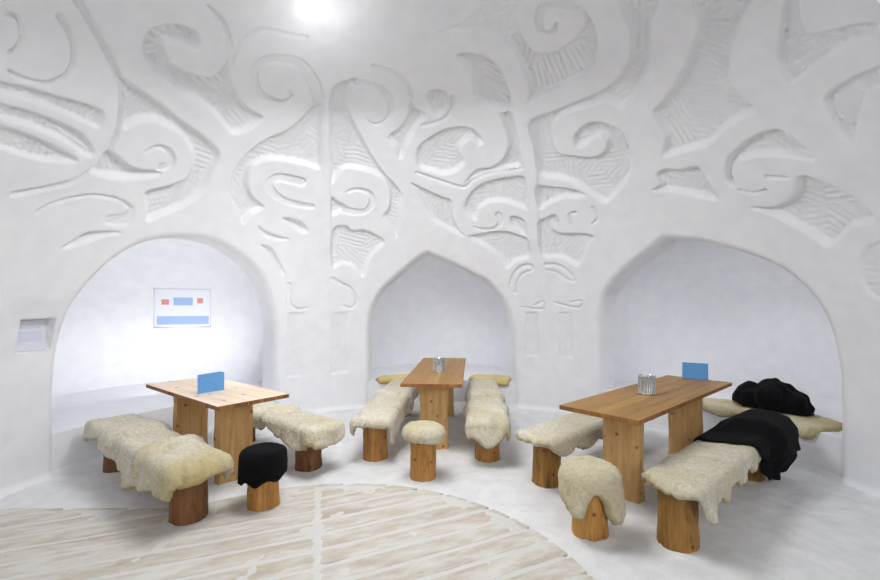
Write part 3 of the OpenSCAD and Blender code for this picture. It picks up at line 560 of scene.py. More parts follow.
# %% The whole carving
MARGIN = 0.05
GROOVE_MARGIN = 0.2
UNCUT = 0.004


def carving(az, h):
    """Depth of the carving at places on the wall, with what stands proud counted as negative."""
    deep = np.zeros(len(az))
    rng = random.Random(7)
    work = [(f, MARGIN, lambda a, b, f=f: field_depth(a, b, f, rng, DEPTH, CUT_DEPTH, FALL))
            for f in FIELDS]
    work += [(f, MARGIN, lambda a, b, f=f: field_depth(a, b, f, rng, face(a, b) - BACKING,
                                                       SHALLOW_CUT * face(a, b), SHALLOW))
             for f in shallow]
    work += [(g[0], GROOVE_MARGIN, lambda a, b, g=g: groove_depth(a, b, g)) for g in GROOVES]
    work += [([(s[0], s[2]), (s[1], s[3])], MARGIN, lambda a, b, s=s: strip_depth(a, b, s))
             for s in STRIPS]
    for outline, margin, depth_of in work:
        touched = near(az, h, outline, margin)
        if touched.any():
            deep[touched] = np.maximum(deep[touched], depth_of(az[touched], h[touched]))
    for stem in STEMS:
        touched = near(az, h, stem, MARGIN)
        if touched.any():
            deep[touched] -= stem_rise(az[touched], h[touched], stem) * (deep[touched] < UNCUT)
    return deep

# %% [markdown]
# ## The carved skin
# Each bay of the vault is one sheet of small squares. A grid is laid on the flat plane that faces the
# middle of the bay and is wrapped onto the vault by its distance from that middle, which keeps the
# squares nearly even up to the crown. Planes then cut the sheet where the bays meet, at the floor and
# at the open front, and the mouth of the niche is cut out of it and turned into the wall's thickness.

# %% Mouth of a niche
REVEAL = 0.025
JAMB_HEIGHTS = (-0.5, 0.4, JAMB_H - 0.15)


def mouth_outline(niche):
    """Half widths are measured across the niche's axis and heights from the floor."""
    edge = niche["half"] - REVEAL
    tip = (niche["point"], niche["crown"])
    left, right = niche["flanks"]
    rise = through([(edge, z) for z in JAMB_HEIGHTS] + left[::-1] + [tip], False, 6)
    fall = through([tip] + right + [(-edge, z) for z in JAMB_HEIGHTS[::-1]], False, 6)
    line = np.vstack([rise, fall[1:]])
    line[:, 0] = np.clip(line[:, 0], -edge, edge)
    return line


def mouth_plane(points, niche):
    """Places as seen along the niche's axis: how far to its left, and how high over the floor."""
    a = math.radians(niche["az"])
    left = -points[:, 0] * math.sin(a) + points[:, 1] * math.cos(a)
    return np.stack([left, points[:, 2] - FLOOR], axis=1)


def axis_of(niche):
    a = math.radians(niche["az"])
    return np.array([math.cos(a), math.sin(a), 0.0])


print("mouths", [round(2 * n["half"], 2) for n in NICHES.values()], "m wide")

# %% A flat sheet wrapped onto the vault
def wrap(u, v, az0, el0):
    """Wraps a flat sheet onto the vault round a middle, and gives bearings and heights."""
    rho = np.maximum(np.hypot(u, v), 1e-9)
    c = rho / HALL_R
    ahead, left, up = np.cos(c), np.sin(c) * u / rho, np.sin(c) * v / rho
    x = ahead * math.cos(el0) - up * math.sin(el0)
    z = ahead * math.sin(el0) + up * math.cos(el0)
    az = az0 + np.degrees(np.arctan2(left, x))
    return az, SPRING + HALL_R * np.arctan2(z, np.hypot(left, x))


def read_points(bm):
    return np.array([v.co[:] for v in bm.verts])


def write_points(bm, points):
    for v, p in zip(bm.verts, points):
        v.co = p


# %% The bed that is cut into the wall for the notice
BED_RIM = 0.02
BED_OPEN = 0.004
BED_STEEP = 0.01
BED_EDGE = 0.2
BEHIND = 0.012


def bed(points, rim, edge):
    """How far places lie inside the notice's upright bed, from 0 to 1, with a soft edge."""
    low, high = (np.array(c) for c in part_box("notice"))
    middle = (low + high) / 2
    along = np.array([-middle[1], middle[0]]) / math.hypot(middle[0], middle[1])
    side = np.abs((points[:, :2] - middle[:2]) @ along) - math.hypot(*(high - low)[:2]) / 2
    up = np.abs(points[:, 2] - middle[2]) - (high - low)[2] / 2
    gap = np.hypot(np.maximum(side, 0), np.maximum(up, 0))
    return smooth(1 - (gap - rim) / edge) * (points[:, 0] < 0)


def open_bed(points):
    """Takes the skin back behind the model's own bed, so that the notice hangs free in it."""
    inner = bed(points, BED_OPEN, BED_STEEP)
    r = np.hypot(points[:, 0], points[:, 1])
    points[:, :2] *= (1 + inner * (HALL_R + BEHIND - r) / r)[:, None]
    return points

# %% [markdown]
# A snow wall is never true. Beside the carving it swells and sinks by a few millimetres, it runs out
# into the floor in a small cove, and it lies back where the notice hangs.

# %% How far the face stands inward
FOOT = 0.09
SWELL = 0.004
BED_SKIN = 0.002


def undulation(points):
    return np.array([noise.noise(Vector(p) * 2.3) + 0.4 * noise.noise(Vector(p) * 6.1) for p in points])


def inward_of(points, az, h):
    """How far the finished face stands in front of the hall's true surface."""
    foot = FOOT * smooth(1 - h / FOOT) ** 2 * 0.5
    standing = face(az, h) + foot + SWELL * undulation(points) - carving(az, h)
    flush = bed(points, BED_RIM, BED_EDGE)
    return standing * (1 - flush) + BED_SKIN * flush

# %% [markdown]
# The grid's own edge round a mouth is ragged, in steps of one square. Its places are drawn onto the
# mouth's outline, and from there the edge is extruded through the wall. The wall rolls into the mouth
# over an arris of 60 mm, which hands and sleeves have worn smooth.

# %% Cut the mouth out of the sheet
STEP = 0.0138


def onto_outline(points, rim, niche):
    """Draws the rim's places onto the mouth's outline."""
    line = mouth_outline(niche)
    q = mouth_plane(points, niche)
    side = np.array([-math.sin(math.radians(niche["az"])), math.cos(math.radians(niche["az"])), 0])
    for i in np.nonzero(rim)[0]:
        target = nearest_on(q[i], line)
        points[i] += side * (target[0] - q[i][0])
        points[i][2] = FLOOR + target[1]
    return points


def cut_mouth(bm, niche):
    """Takes the mouth out of the sheet and draws the ragged edge onto the mouth's outline."""
    line = mouth_outline(niche)
    points = read_points(bm)
    facing = points @ axis_of(niche) > 0
    q = mouth_plane(points, niche)
    gone = inside(q, line) & facing
    bmesh.ops.delete(bm, geom=[v for v, g in zip(bm.verts, gone) if g], context="VERTS")
    points = read_points(bm)
    q = mouth_plane(points, niche)
    edge = np.array([v.is_boundary for v in bm.verts]) & (points @ axis_of(niche) > 0)
    d, _ = edge_distance(q, line, True)
    edge &= (d < 1.6 * STEP) & (q[:, 1] > 0.01)
    write_points(bm, onto_outline(points, edge, niche))
    for v, rim in zip(bm.verts, edge):
        v.select = bool(rim)

# %% Arris and reveal of the mouth
TURN = 0.06
REVEAL_DEPTHS = (0.08, 0.16, 0.235, 0.262)
FLANGE = 0.2


def turn_arris(points, rim, niche):
    """Rolls the wall into the mouth over a rounded arris."""
    q = mouth_plane(points, niche)
    ahead = axis_of(niche)
    d, _ = edge_distance(q, mouth_outline(niche), True)
    d = np.where((points @ ahead > 0) & (d < TURN), np.where(rim, 0, d), TURN)
    return points + ahead * (TURN - np.sqrt(np.maximum(TURN ** 2 - (TURN - d) ** 2, 0)))[:, None]


def line_reveal(bm, niche):
    """Carries the sheet's edge through the thickness of the screen, and turns it outward behind."""
    ahead = Vector(axis_of(niche))
    edges = [e for e in bm.edges if e.is_boundary and e.verts[0].select and e.verts[1].select]
    for depth in REVEAL_DEPTHS:
        made = bmesh.ops.extrude_edge_only(bm, edges=edges)["geom"]
        edges = [g for g in made if isinstance(g, bmesh.types.BMEdge)]
        for v in (g for g in made if isinstance(g, bmesh.types.BMVert)):
            place = v.co.copy()
            flat_r = math.hypot(place.x, place.y)
            along = place.dot(ahead)
            lateral2 = flat_r ** 2 - along ** 2
            target = math.sqrt(max((HALL_R + depth) ** 2 - lateral2
                                   - max(place.z - FLOOR - SPRING, 0) ** 2, 0.01))
            v.co = place + ahead * (target - along)
    made = bmesh.ops.extrude_edge_only(bm, edges=edges)["geom"]
    side = Vector((-ahead.y, ahead.x, 0))
    for v in (g for g in made if isinstance(g, bmesh.types.BMVert)):
        away = Vector((v.co.dot(side), max(v.co.z - FLOOR - JAMB_H, 0))).normalized() * FLANGE
        v.co += side * away.x + Vector((0, 0, away.y))


def close_front(bm):
    """Turns the sheet's edge at the open front back into the wall."""
    edges = [e for e in bm.edges if e.is_boundary and max(v.co.y for v in e.verts) < CUT_Y + 0.02]
    made = bmesh.ops.extrude_edge_only(bm, edges=edges)["geom"]
    for v in (g for g in made if isinstance(g, bmesh.types.BMVert)):
        middle = Vector((0, v.co.y, min(v.co.z, FLOOR + SPRING)))
        v.co = middle + (v.co - middle).normalized() * ((v.co - middle).length + 3 * PROUD)

# %% From bmesh to finished piece
def finish_piece(bm, name, materials):
    bmesh.ops.recalc_face_normals(bm, faces=bm.faces[:])
    mesh = bpy.data.meshes.new(name)
    bm.to_mesh(mesh)
    bm.free()
    for material in materials:
        mesh.materials.append(material)
    mesh.shade_smooth()
    piece = bpy.data.objects.new(name, mesh)
    bpy.context.scene.collection.objects.link(piece)
    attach(piece, "root")
    triangles = sum(len(p.vertices) - 2 for p in mesh.polygons)
    print(name, len(mesh.polygons), "faces,", triangles, "triangles")
    return piece

# %% The three bays
SHEET_TOP = 4.25
SHEET_FOOT = -3.05
SHEET_TILT = math.radians(38)
BELOW_FLOOR = -0.05
SPARE = 8
NEAR_CROWN = (4.6, 40)
FOLD = 72


def bay(name, az0, half_width, from_az, to_az, niche):
    """One sheet, cut where the bays meet and at the open front, with its mouth and its carving."""
    bm = bmesh.new()
    tall = SHEET_TOP - SHEET_FOOT
    bmesh.ops.create_grid(bm, x_segments=int(2 * half_width / STEP), y_segments=int(tall / STEP), size=1)
    sheet = read_points(bm)
    az, h = wrap(sheet[:, 0] * half_width, (SHEET_TOP + SHEET_FOOT) / 2 + sheet[:, 1] * tall / 2,
                 az0, elevation(SPRING) + SHEET_TILT)
    spare = SPARE + NEAR_CROWN[1] * (h > NEAR_CROWN[0])
    gone = (h < BELOW_FLOOR) | (np.abs(az - (from_az + to_az) / 2) > (to_az - from_az) / 2 + spare)
    write_points(bm, wall_point(az, np.maximum(h, BELOW_FLOOR), PROUD))
    bmesh.ops.delete(bm, geom=[v for v, g in zip(bm.verts, gone) if g], context="VERTS")
    sides = [((0, 0, 0), (sign * -math.sin(math.radians(edge)), sign * math.cos(math.radians(edge)), 0))
             for edge, sign in ((from_az, -1), (to_az, 1))]
    for place, ahead in sides + [((0, CUT_Y, 0), (0, -1, 0))]:
        bmesh.ops.bisect_plane(bm, geom=bm.verts[:] + bm.edges[:] + bm.faces[:], plane_co=place,
                               plane_no=ahead, clear_outer=True)
    cut_mouth(bm, niche)
    points = read_points(bm)
    az, h = wall_coords(points)
    points = open_bed(wall_point(az, h, inward_of(points, az, h)))
    rim = np.array([v.select for v in bm.verts])
    points = onto_outline(points, rim, niche)
    write_points(bm, turn_arris(points, rim, niche))
    line_reveal(bm, niche)
    close_front(bm)
    piece = finish_piece(bm, name, [snow])
    piece.data.set_sharp_from_angle(angle=math.radians(FOLD))
    return piece


BAYS = [("carved_bay_left", 155.0, 2.85, LEFT_SPLIT, 270.0, NICHES["left"]),
        ("carved_bay_mid", 89.6, 2.0, RIGHT_SPLIT, LEFT_SPLIT, NICHES["mid"]),
        ("carved_bay_right", 24.5, 2.85, -90.0, RIGHT_SPLIT, NICHES["right"])]
for numbers in BAYS:
    bay(*numbers)

# %% [markdown]
# ## The floor
# The floor is snow that has been trodden all winter: low mounds, dints of boots, and a little drift
# against every foot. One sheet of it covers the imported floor. Over the deck it fills the gaps between
# the boards and lies on them in patches, which is how the real deck comes to look half buried.

# %% Places of the furniture
# Each table by its middle and its bearing, and its two legs along it; each bench by its side of the
# table, the ends of its seat and the places of its two logs, along the table
TABLES = {"left": (-2.14, 0.98, 141.6), "mid": (-0.01, 2.27, 85.7), "right": (1.96, 0.81, 41.9)}
LEGS = {"left": (-0.40, 0.50), "mid": (-0.72, 0.61), "right": (-0.66, 0.72)}
BENCHES = {
    "left": [(1, -1.05, 0.88, -0.87, 0.67), (-1, -0.95, 0.75, -0.70, 0.52)],
    "mid": [(1, -1.25, 0.85, -1.07, 0.62), (-1, -1.23, 0.90, -1.01, 0.65)],
    "right": [(1, -1.08, 0.85, -0.89, 0.60), (-1, -1.20, 0.83, -1.08, 0.55)],
}
BENCH_OFF = 0.56
BENCH_HALF = 0.15
LOG_R = 0.125
LEG_R = 0.13
STOOLS = {"left": (-1.35, 0.20), "mid": (-0.15, 0.75), "right": (1.01, -0.19)}
STOOL_R = 0.12
DECK_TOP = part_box("deck_left")[1][2]
SEAT_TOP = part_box("benches_left")[1][2]
LOG_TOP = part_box("bench_logs_left")[1][2]
STOOL_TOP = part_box("stool_left")[1][2]


def from_table(which, u, v):
    """A place along and across a table, as x and y."""
    x, y, turn = TABLES[which]
    a = math.radians(turn)
    return x + u * math.cos(a) - v * math.sin(a), y + u * math.sin(a) + v * math.cos(a)


FEET = [from_table(w, u, b[0] * BENCH_OFF) + (LOG_R,)
        for w, pair in BENCHES.items() for b in pair for u in b[3:]]
FEET += [STOOLS[w] + (STOOL_R,) for w in STOOLS]
FEET += [from_table(w, u, 0) + (LEG_R,) for w, pair in LEGS.items() for u in pair]
print(len(FEET), "feet stand on the floor")

# %% Snow cover of the floor
FLOOR_STEP = 0.024
LUMPS = ((3.1, 4, 1.0), (8.7, 9, 0.7), (19, 2, 0.45))
LUMP_HEIGHT = 0.009
COVER = 0.008
FILM = 0.0022
FILM_LUMP = 0.0034
DRIFT = 0.07
DRIFT_HEIGHT = 0.014
SWEPT = 0.6
WALL_DRIFT = 0.10
WALL_DRIFT_HEIGHT = 0.045
DECK_TO_WALL = 0.04
DECK_EDGE = 0.05
BLOWN_IN = 0.22
BLOWN_IN_HEIGHT = 0.003
SEAM = np.array([(-1.2, 1.15), (-0.46, -1.5)])
SEAM_HALF = 0.034
SEAM_EDGE = 0.014
SEAM_PROUD = 0.0015
FRONT_EASE = 0.012
LOWEST = -0.002
WORN = 0.6


def on_deck(points):
    """How far places lie inside the timber deck."""
    centre, r, wing_y, wing_x = np.array([-0.75, -1.05]), 1.65, 0.15, -1.7
    disc = r - np.hypot(*(points[:, :2] - centre).T)
    wing = np.minimum(wing_y - points[:, 1], wing_x - points[:, 0])
    wall = HALL_R - DECK_TO_WALL - np.hypot(points[:, 0], points[:, 1])
    return np.minimum(np.maximum(disc, wing), wall)


def floor_cover():
    """Mounds, a thin film with a filled seam on the deck, and drifts at every foot and at the wall."""
    bm = bmesh.new()
    reach = HALL_R + 0.1
    depth = reach - CUT_Y
    bmesh.ops.create_grid(bm, x_segments=int(2 * reach / FLOOR_STEP),
                          y_segments=int(depth / FLOOR_STEP), size=1)
    for v in bm.verts:
        v.co = (v.co.x * reach, CUT_Y + (v.co.y + 1) / 2 * depth, 0)
    gone = [v for v in bm.verts if math.hypot(v.co.x, v.co.y) > reach]
    bmesh.ops.delete(bm, geom=gone, context="VERTS")
    points = read_points(bm)
    mounds = np.array([sum(share * noise.noise(Vector((p[0] * scale, p[1] * scale, layer)))
                           for scale, layer, share in LUMPS) for p in points])
    height = COVER + LUMP_HEIGHT * mounds
    within = on_deck(points)
    deck = smooth(within / DECK_EDGE)
    boards = (DECK_TOP - FLOOR - FILM + FILM_LUMP * mounds
              + BLOWN_IN_HEIGHT * smooth(1 - within / BLOWN_IN))
    seam, _ = edge_distance(points[:, :2], SEAM, False)
    boards += (DECK_TOP - FLOOR + SEAM_PROUD - boards) * smooth((SEAM_HALF - seam) / SEAM_EDGE)
    height = height * (1 - deck) + deck * boards
    for x, y, r in FEET:
        d = np.hypot(points[:, 0] - x, points[:, 1] - y) - r
        height += DRIFT_HEIGHT * smooth(1 - d / DRIFT) * (1 - SWEPT * deck)
    wall = HALL_R - np.hypot(points[:, 0], points[:, 1])
    height += WALL_DRIFT_HEIGHT * smooth(1 - wall / WALL_DRIFT) ** 2
    height *= smooth((points[:, 1] - CUT_Y) / FRONT_EASE)
    points[:, 2] = FLOOR + np.maximum(height, LOWEST)
    write_points(bm, points)
    piece = finish_piece(bm, "snow_cover", [trodden_snow])
    worn = piece.data.attributes.new("worn", "FLOAT", "POINT")
    worn.data.foreach_set("value", (WORN * deck).astype(np.float32))
    return piece


floor_cover()

# %% [markdown]
# ## The deck
# Larch boards 145 mm wide lie on the snow with gaps of 38 mm, which are full of trodden snow. They
# are grey and bleached, with frost on them in patches. They are one row of long boxes with eased
# edges. A boolean then keeps what lies inside the deck's own outline from the model, which already
# goes round the logs that stand in it.
#
# Wood shows its rings as streaks along the grain. Noise that is squeezed across the grain and
# stretched along it draws them. A second, broad noise shades whole streaks, and cells give knots.

# %% Wood
GRAIN_STRETCH = 0.06
KNOT_RIM = "#b08a60"
BARK_STRETCH = 0.22


def wood(name, light, dark, knot, rough, ring, turn=None, knots=True, knot_gap=0.17, bark=0.0):
    """Softwood: streaks that follow the grain, ring lines, and now and then a knot.
    The grain runs along a bearing, or upright where none is given. Logs keep patches of inner bark."""
    material, tree, shader = new_material(name, rough, 0.35)
    place = add(tree, "ShaderNodeTexCoord").outputs["Object"]
    if turn is None:
        grained = add(tree, "ShaderNodeMapping", inputs={"Vector": place, "Scale": (1, 1, GRAIN_STRETCH)})
    else:
        turned = add(tree, "ShaderNodeMapping", inputs={"Vector": place,
                                                        "Rotation": (0, 0, -math.radians(turn))})
        grained = add(tree, "ShaderNodeMapping", inputs={"Vector": turned.outputs["Vector"],
                                                         "Scale": (0.05, 1, 1)})
    grained = grained.outputs["Vector"]
    streak = add(tree, "ShaderNodeTexNoise", inputs={"Vector": grained, "Scale": 1 / ring, "Detail": 6.0,
                                                     "Roughness": 0.62, "Distortion": 0.5})
    broad = add(tree, "ShaderNodeTexNoise", inputs={"Vector": grained, "Scale": 0.12 / ring,
                                                    "Detail": 2.0})
    plank = add(tree, "ShaderNodeAttribute", {"attribute_name": "shade"}).outputs["Fac"]
    tone = mix(tree, 0.45, streak.outputs["Fac"], broad.outputs["Fac"])
    base = ramp(tree, tone, [(0.34, dark), (0.62, light)])
    base = mix(tree, 0.22, base, mix(tree, plank, colour("#ffffff"), colour(dark)), "MULTIPLY")
    if knots:
        spots = add(tree, "ShaderNodeTexVoronoi", inputs={"Vector": place, "Scale": 1 / knot_gap})
        knot_tint = ramp(tree, spots.outputs["Distance"], [(0.04, knot), (0.07, KNOT_RIM),
                                                           (0.16, "#ffffff")])
        base = mix(tree, 0.85, base, knot_tint, "MULTIPLY")
    if bark:
        upright = add(tree, "ShaderNodeMapping", inputs={"Vector": place, "Scale": (1, 1, BARK_STRETCH)})
        patch = add(tree, "ShaderNodeTexNoise", inputs={"Vector": upright.outputs["Vector"], "Scale": 13.0,
                                                        "Detail": 6.0, "Roughness": 0.7})
        bark_tint = ramp(tree, patch.outputs["Fac"], [(0.52, "#ffffff"), (0.66, knot)])
        base = mix(tree, bark, base, bark_tint, "MULTIPLY")
    tree.links.new(base, shader.inputs["Base Color"])
    bump(tree, shader, streak.outputs["Fac"], 0.002, 0.6)
    return material

# %% Boards of the deck
BOARD = 0.145
GAP = 0.038
BOARD_COUNT = 30
BOARD_LENGTH = 7.0
BOARD_EASE = 0.003


def boxes_in_row(count, length, width, pitch, thick, ease):
    """Long boxes side by side, centred, with eased edges."""
    bm = bmesh.new()
    for i in range(count):
        made = bmesh.ops.create_cube(bm, size=1)["verts"]
        bmesh.ops.scale(bm, vec=(length, width, thick), verts=made)
        bmesh.ops.translate(bm, vec=(0, (i - (count - 1) / 2) * pitch, 0), verts=made)
    bmesh.ops.bevel(bm, geom=bm.edges[:], offset=ease, affect="EDGES", segments=2, profile=0.5,
                    material=-1)
    return bm


def keep_inside(piece, node):
    """Keeps what lies inside a node of the model."""
    cut = piece.modifiers.new("outline", "BOOLEAN")
    cut.operation = "INTERSECT"
    cut.solver = "EXACT"
    cut.object = nodes[node]
    bake(piece)


def bake(piece):
    """Makes what the modifiers show the mesh itself."""
    seen = piece.evaluated_get(bpy.context.evaluated_depsgraph_get())
    mesh = bpy.data.meshes.new_from_object(seen)
    piece.modifiers.clear()
    piece.data = mesh
    return mesh


def deck_boards(name, node, turn, shift):
    """One half of the deck. Its boards run along a bearing."""
    low, high = (Vector(c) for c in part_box(node))
    bm = boxes_in_row(BOARD_COUNT, BOARD_LENGTH, BOARD, BOARD + GAP, high.z - low.z, BOARD_EASE)
    bmesh.ops.transform(bm, matrix=Matrix.Translation(((low + high) / 2) + Vector((0, shift, 0)))
                        @ Matrix.Rotation(math.radians(turn), 4, "Z"), verts=bm.verts)
    piece = finish_piece(bm, name, [frosted(turn)])
    piece.data.shade_flat()
    keep_inside(piece, node)
    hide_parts(node)
    return piece


def frosted(turn):
    """Weathered larch under frost: the grey grain shows only where boots have worn the white off."""
    material = wood("frosted larch %d" % turn, "#c2b9aa", "#a89e8e", "#7a6b58", 0.8, 0.012, turn, False)
    tree = material.node_tree
    shader = tree.nodes["Principled BSDF"]
    grey = shader.inputs["Base Color"].links[0].from_socket
    place = add(tree, "ShaderNodeTexCoord").outputs["Object"]
    along = add(tree, "ShaderNodeMapping", inputs={"Vector": place,
                                                   "Rotation": (0, 0, -math.radians(turn))})
    along = add(tree, "ShaderNodeMapping", inputs={"Vector": along.outputs["Vector"],
                                                   "Scale": (0.35, 1, 1)})
    patch = add(tree, "ShaderNodeTexNoise", inputs={"Vector": along.outputs["Vector"], "Scale": 9.0,
                                                    "Detail": 8.0, "Roughness": 0.68})
    frost = ramp(tree, patch.outputs["Fac"], [(0.38, "#2c2c2c"), (0.62, "#ffffff")])
    tree.links.new(mix(tree, frost, grey, colour("#d3d0ca")), shader.inputs["Base Color"])
    return material


for numbers in (("deck_boards_left", "deck_left", 22.0, 0.02),
                ("deck_boards_right", "deck_right", 26.0, 0.05)):
    deck_boards(*numbers)

# %% [markdown]
# ## Logs and split logs
# The feet of the benches and the stools are peeled spruce logs, sawn square. A log is never a true
# cylinder: it swells at the foot, it is fluted by its roots and branches, and it opens in one or two
# drying cracks. Each is drawn up ring by ring from a circle, and each ring gets its own outline.

# %% Logs
RINGS = 26
AROUND = 56
OUTLINE_SCALE = (1.3, 1.3, 3.4)
FLUTES_DEEP, FLUTES_SCALE = 0.075, 1.4
RIPPLES_DEEP, RIPPLES_SCALE = 0.04, 4.2
FOOT_SWELL, FOOT_SHARE = 0.05, 0.3
CRACK_DEEP = 0.16
CRACK_HALF = 0.09
CRACK_WANDER = (0.12, 5)
TOP_EASE = 0.985
BARK_ROOM = 0.006
SEAT_GAP = 0.0005


def log_radius(angle, z, height, shift, crack):
    """The radius at an angle and a height, as a share of the log's own."""
    wide, deep, tall = OUTLINE_SCALE
    place = Vector((math.cos(angle) * wide, math.sin(angle) * deep, z * tall + shift))
    flutes = (FLUTES_DEEP * noise.noise(place * FLUTES_SCALE)
              + RIPPLES_DEEP * noise.noise(place * RIPPLES_SCALE))
    foot = FOOT_SWELL * max(0.0, 1 - z / (FOOT_SHARE * height)) ** 2
    wander, turns = CRACK_WANDER
    gap = abs((angle - crack - wander * math.sin(turns * z) + math.pi) % (2 * math.pi) - math.pi)
    split = CRACK_DEEP * max(0.0, 1 - gap / CRACK_HALF)
    return 1 + flutes + foot - split


def log(x, y, top, seed, plan):
    """A log from the floor to its sawn top. plan gives its outline, as x and y at an angle."""
    bm = bmesh.new()
    height = top - FLOOR
    ring = bmesh.ops.create_circle(bm, cap_ends=False, radius=1, segments=AROUND)["verts"]
    edges = bm.edges[:]
    crack = seed * 2.4
    loops = [ring]
    for i in range(RINGS):
        made = bmesh.ops.extrude_edge_only(bm, edges=edges)["geom"]
        edges = [g for g in made if isinstance(g, bmesh.types.BMEdge)]
        loops.append([g for g in made if isinstance(g, bmesh.types.BMVert)])
    for i, loop in enumerate(loops):
        z = height * i / RINGS
        for v in loop:
            angle = math.atan2(v.co.y, v.co.x)
            r = log_radius(angle, z, height, seed * 3.7, crack)
            ease = TOP_EASE if i == RINGS else 1.0
            flat_x, flat_y = plan(angle)
            v.co = (flat_x * r * ease, flat_y * r * ease, z)
    bmesh.ops.contextual_create(bm, geom=edges)
    bottom = [e for e in bm.edges if e.is_boundary]
    bmesh.ops.contextual_create(bm, geom=bottom)
    bmesh.ops.translate(bm, vec=(x, y, FLOOR), verts=bm.verts)
    return bm


def round_log(x, y, radius, top, seed):
    """A foot or a stool. Its swellings get a little room inside the model's own log."""
    r = radius - BARK_ROOM
    return log(x, y, top - SEAT_GAP, seed, lambda angle: (r * math.cos(angle), r * math.sin(angle)))

# %% Split logs
LEG_HALVES = (0.071, 0.151)
LEG_POWERS = (0.36, 0.62)
LEG_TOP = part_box("table_left_legs")[1][2]


def split_log(which, u, seed):
    """A leg: the middle slice of a thick log, with two sawn faces and two round edges.
    A power below 1 pushes a circle out towards a square, the lower the squarer."""
    turn = math.radians(TABLES[which][2])

    def plan(angle):
        c, s = math.cos(angle), math.sin(angle)
        px = math.copysign(LEG_HALVES[0] * abs(c) ** LEG_POWERS[0], c)
        py = math.copysign(LEG_HALVES[1] * abs(s) ** LEG_POWERS[1], s)
        return px * math.cos(turn) - py * math.sin(turn), px * math.sin(turn) + py * math.cos(turn)

    x, y = from_table(which, u, 0)
    return log(x, y, LEG_TOP - SEAT_GAP, seed, plan)

# %% Feet, legs and stools
SAWN = 38


def join(name, meshes, material, node):
    """Puts several bmeshes into one piece that stands for a node."""
    whole = bpy.data.meshes.new(name)
    bm = bmesh.new()
    for part in meshes:
        part.to_mesh(whole)
        part.free()
        bm.from_mesh(whole)
    piece = finish_piece(bm, name, [material])
    piece.data.set_sharp_from_angle(angle=math.radians(SAWN))
    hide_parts(node)
    return piece


peeled_spruce = wood("peeled spruce", "#cb9750", "#95622d", "#4a2c17", 0.62, 0.02, knot_gap=0.12,
                     bark=0.45)
# The left bench's feet are coloured much darker than the others: a painted shade.
BENCH_WOOD = {"left": ("spruce in painted shade", "#8a5d37", "#573821", "#33200f"),
              "mid": ("yellowed spruce", "#bd8a4a", "#84562a", "#4a2c17"),
              "right": ("aged spruce", "#ad8041", "#755124", "#3f2713")}
bench_spruce = {which: wood(*tones, 0.65, 0.02, knot_gap=0.12, bark=0.6)
                for which, tones in BENCH_WOOD.items()}
pale_spruce = wood("split spruce", "#dab27a", "#b88c54", "#5b3a1f", 0.6, 0.03, knot_gap=0.13, bark=0.2)
for which in TABLES:
    feet = [from_table(which, u, b[0] * BENCH_OFF) for b in BENCHES[which] for u in b[3:]]
    logs = [round_log(x, y, LOG_R, LOG_TOP, 1.3 * i + len(which)) for i, (x, y) in enumerate(feet)]
    join("bench_feet_" + which, logs, bench_spruce[which], "bench_logs_" + which)
    legs = [split_log(which, u, 2.1 * i + len(which)) for i, u in enumerate(LEGS[which])]
    join("split_legs_" + which, legs, pale_spruce, "table_" + which + "_legs")
    join("log_stool_" + which, [round_log(*STOOLS[which], STOOL_R, STOOL_TOP, 5 + len(which))],
         peeled_spruce, "stool_" + which)

# %% [markdown]
# ## Tables
# Each top is five oiled larch planks, 34 mm thick, laid lengthwise on two split logs. The planks are a
# row of bevelled boxes. Their outer edges are sawn, darker and patchy, so they get a finish of their
# own. Every plank has its own shade, kept on the mesh as an attribute that the material reads.

# %% Table tops
TOP_THICK = 0.034
PLANKS = 5
JOINT = 0.0012
PLANK_EASE = 0.0018
END_STAGGER = 0.0025
TABLE_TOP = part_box("table_left_top")[1][2]


def shade_by_plank(piece, which, width, seed):
    """Gives each plank a shade of its own, from 0 to 1."""
    x, y, turn = TABLES[which]
    a = math.radians(turn)
    rng = random.Random(seed)
    shades = [rng.random() for _ in range(PLANKS + 2)]
    across = [-(v.co.x - x) * math.sin(a) + (v.co.y - y) * math.cos(a) for v in piece.data.vertices]
    planks = [int((c + width / 2) / width * PLANKS * 0.999 + 1) for c in across]
    layer = piece.data.attributes.new("shade", "FLOAT", "POINT")
    layer.data.foreach_set("value", [shades[plank % len(shades)] for plank in planks])


def table_top(which, seed, tones):
    """Planks side by side. Their true length and width are found back from the turned node's box."""
    x, y, turn = TABLES[which]
    low, high = (Vector(c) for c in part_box("table_" + which + "_top"))
    a = math.radians(turn)
    size = high - low
    c, s = abs(math.cos(a)), abs(math.sin(a))
    length = (size.x * c - size.y * s) / (c * c - s * s)
    width = (size.y * c - size.x * s) / (c * c - s * s)
    pitch = width / PLANKS
    bm = boxes_in_row(PLANKS, length, pitch - JOINT, pitch, TOP_THICK, PLANK_EASE)
    for v in bm.verts:
        plank = math.floor(v.co.y / pitch + PLANKS / 2)
        shorter = END_STAGGER * math.sin(plank * 2.3 + seed)
        v.co.x += math.copysign(shorter, v.co.x) - math.copysign(END_STAGGER, v.co.x)
    place = Matrix.Translation((x, y, TABLE_TOP - TOP_THICK / 2)) @ Matrix.Rotation(a, 4, "Z")
    bm.normal_update()
    for f in bm.faces:
        f.material_index = int(abs(f.normal.x) > 0.7 or abs(f.normal.y) > 0.7
                               and abs(abs(f.calc_center_median().y) - width / 2) < 0.004)
    bmesh.ops.transform(bm, matrix=place, verts=bm.verts)
    oiled = wood("oiled larch " + which, *tones, 0.42, 0.011, turn=turn)
    piece = finish_piece(bm, "planks_" + which, [oiled, sawn_edge])
    piece.data.shade_flat()
    shade_by_plank(piece, which, width, seed)
    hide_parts("table_" + which + "_top")
    return piece


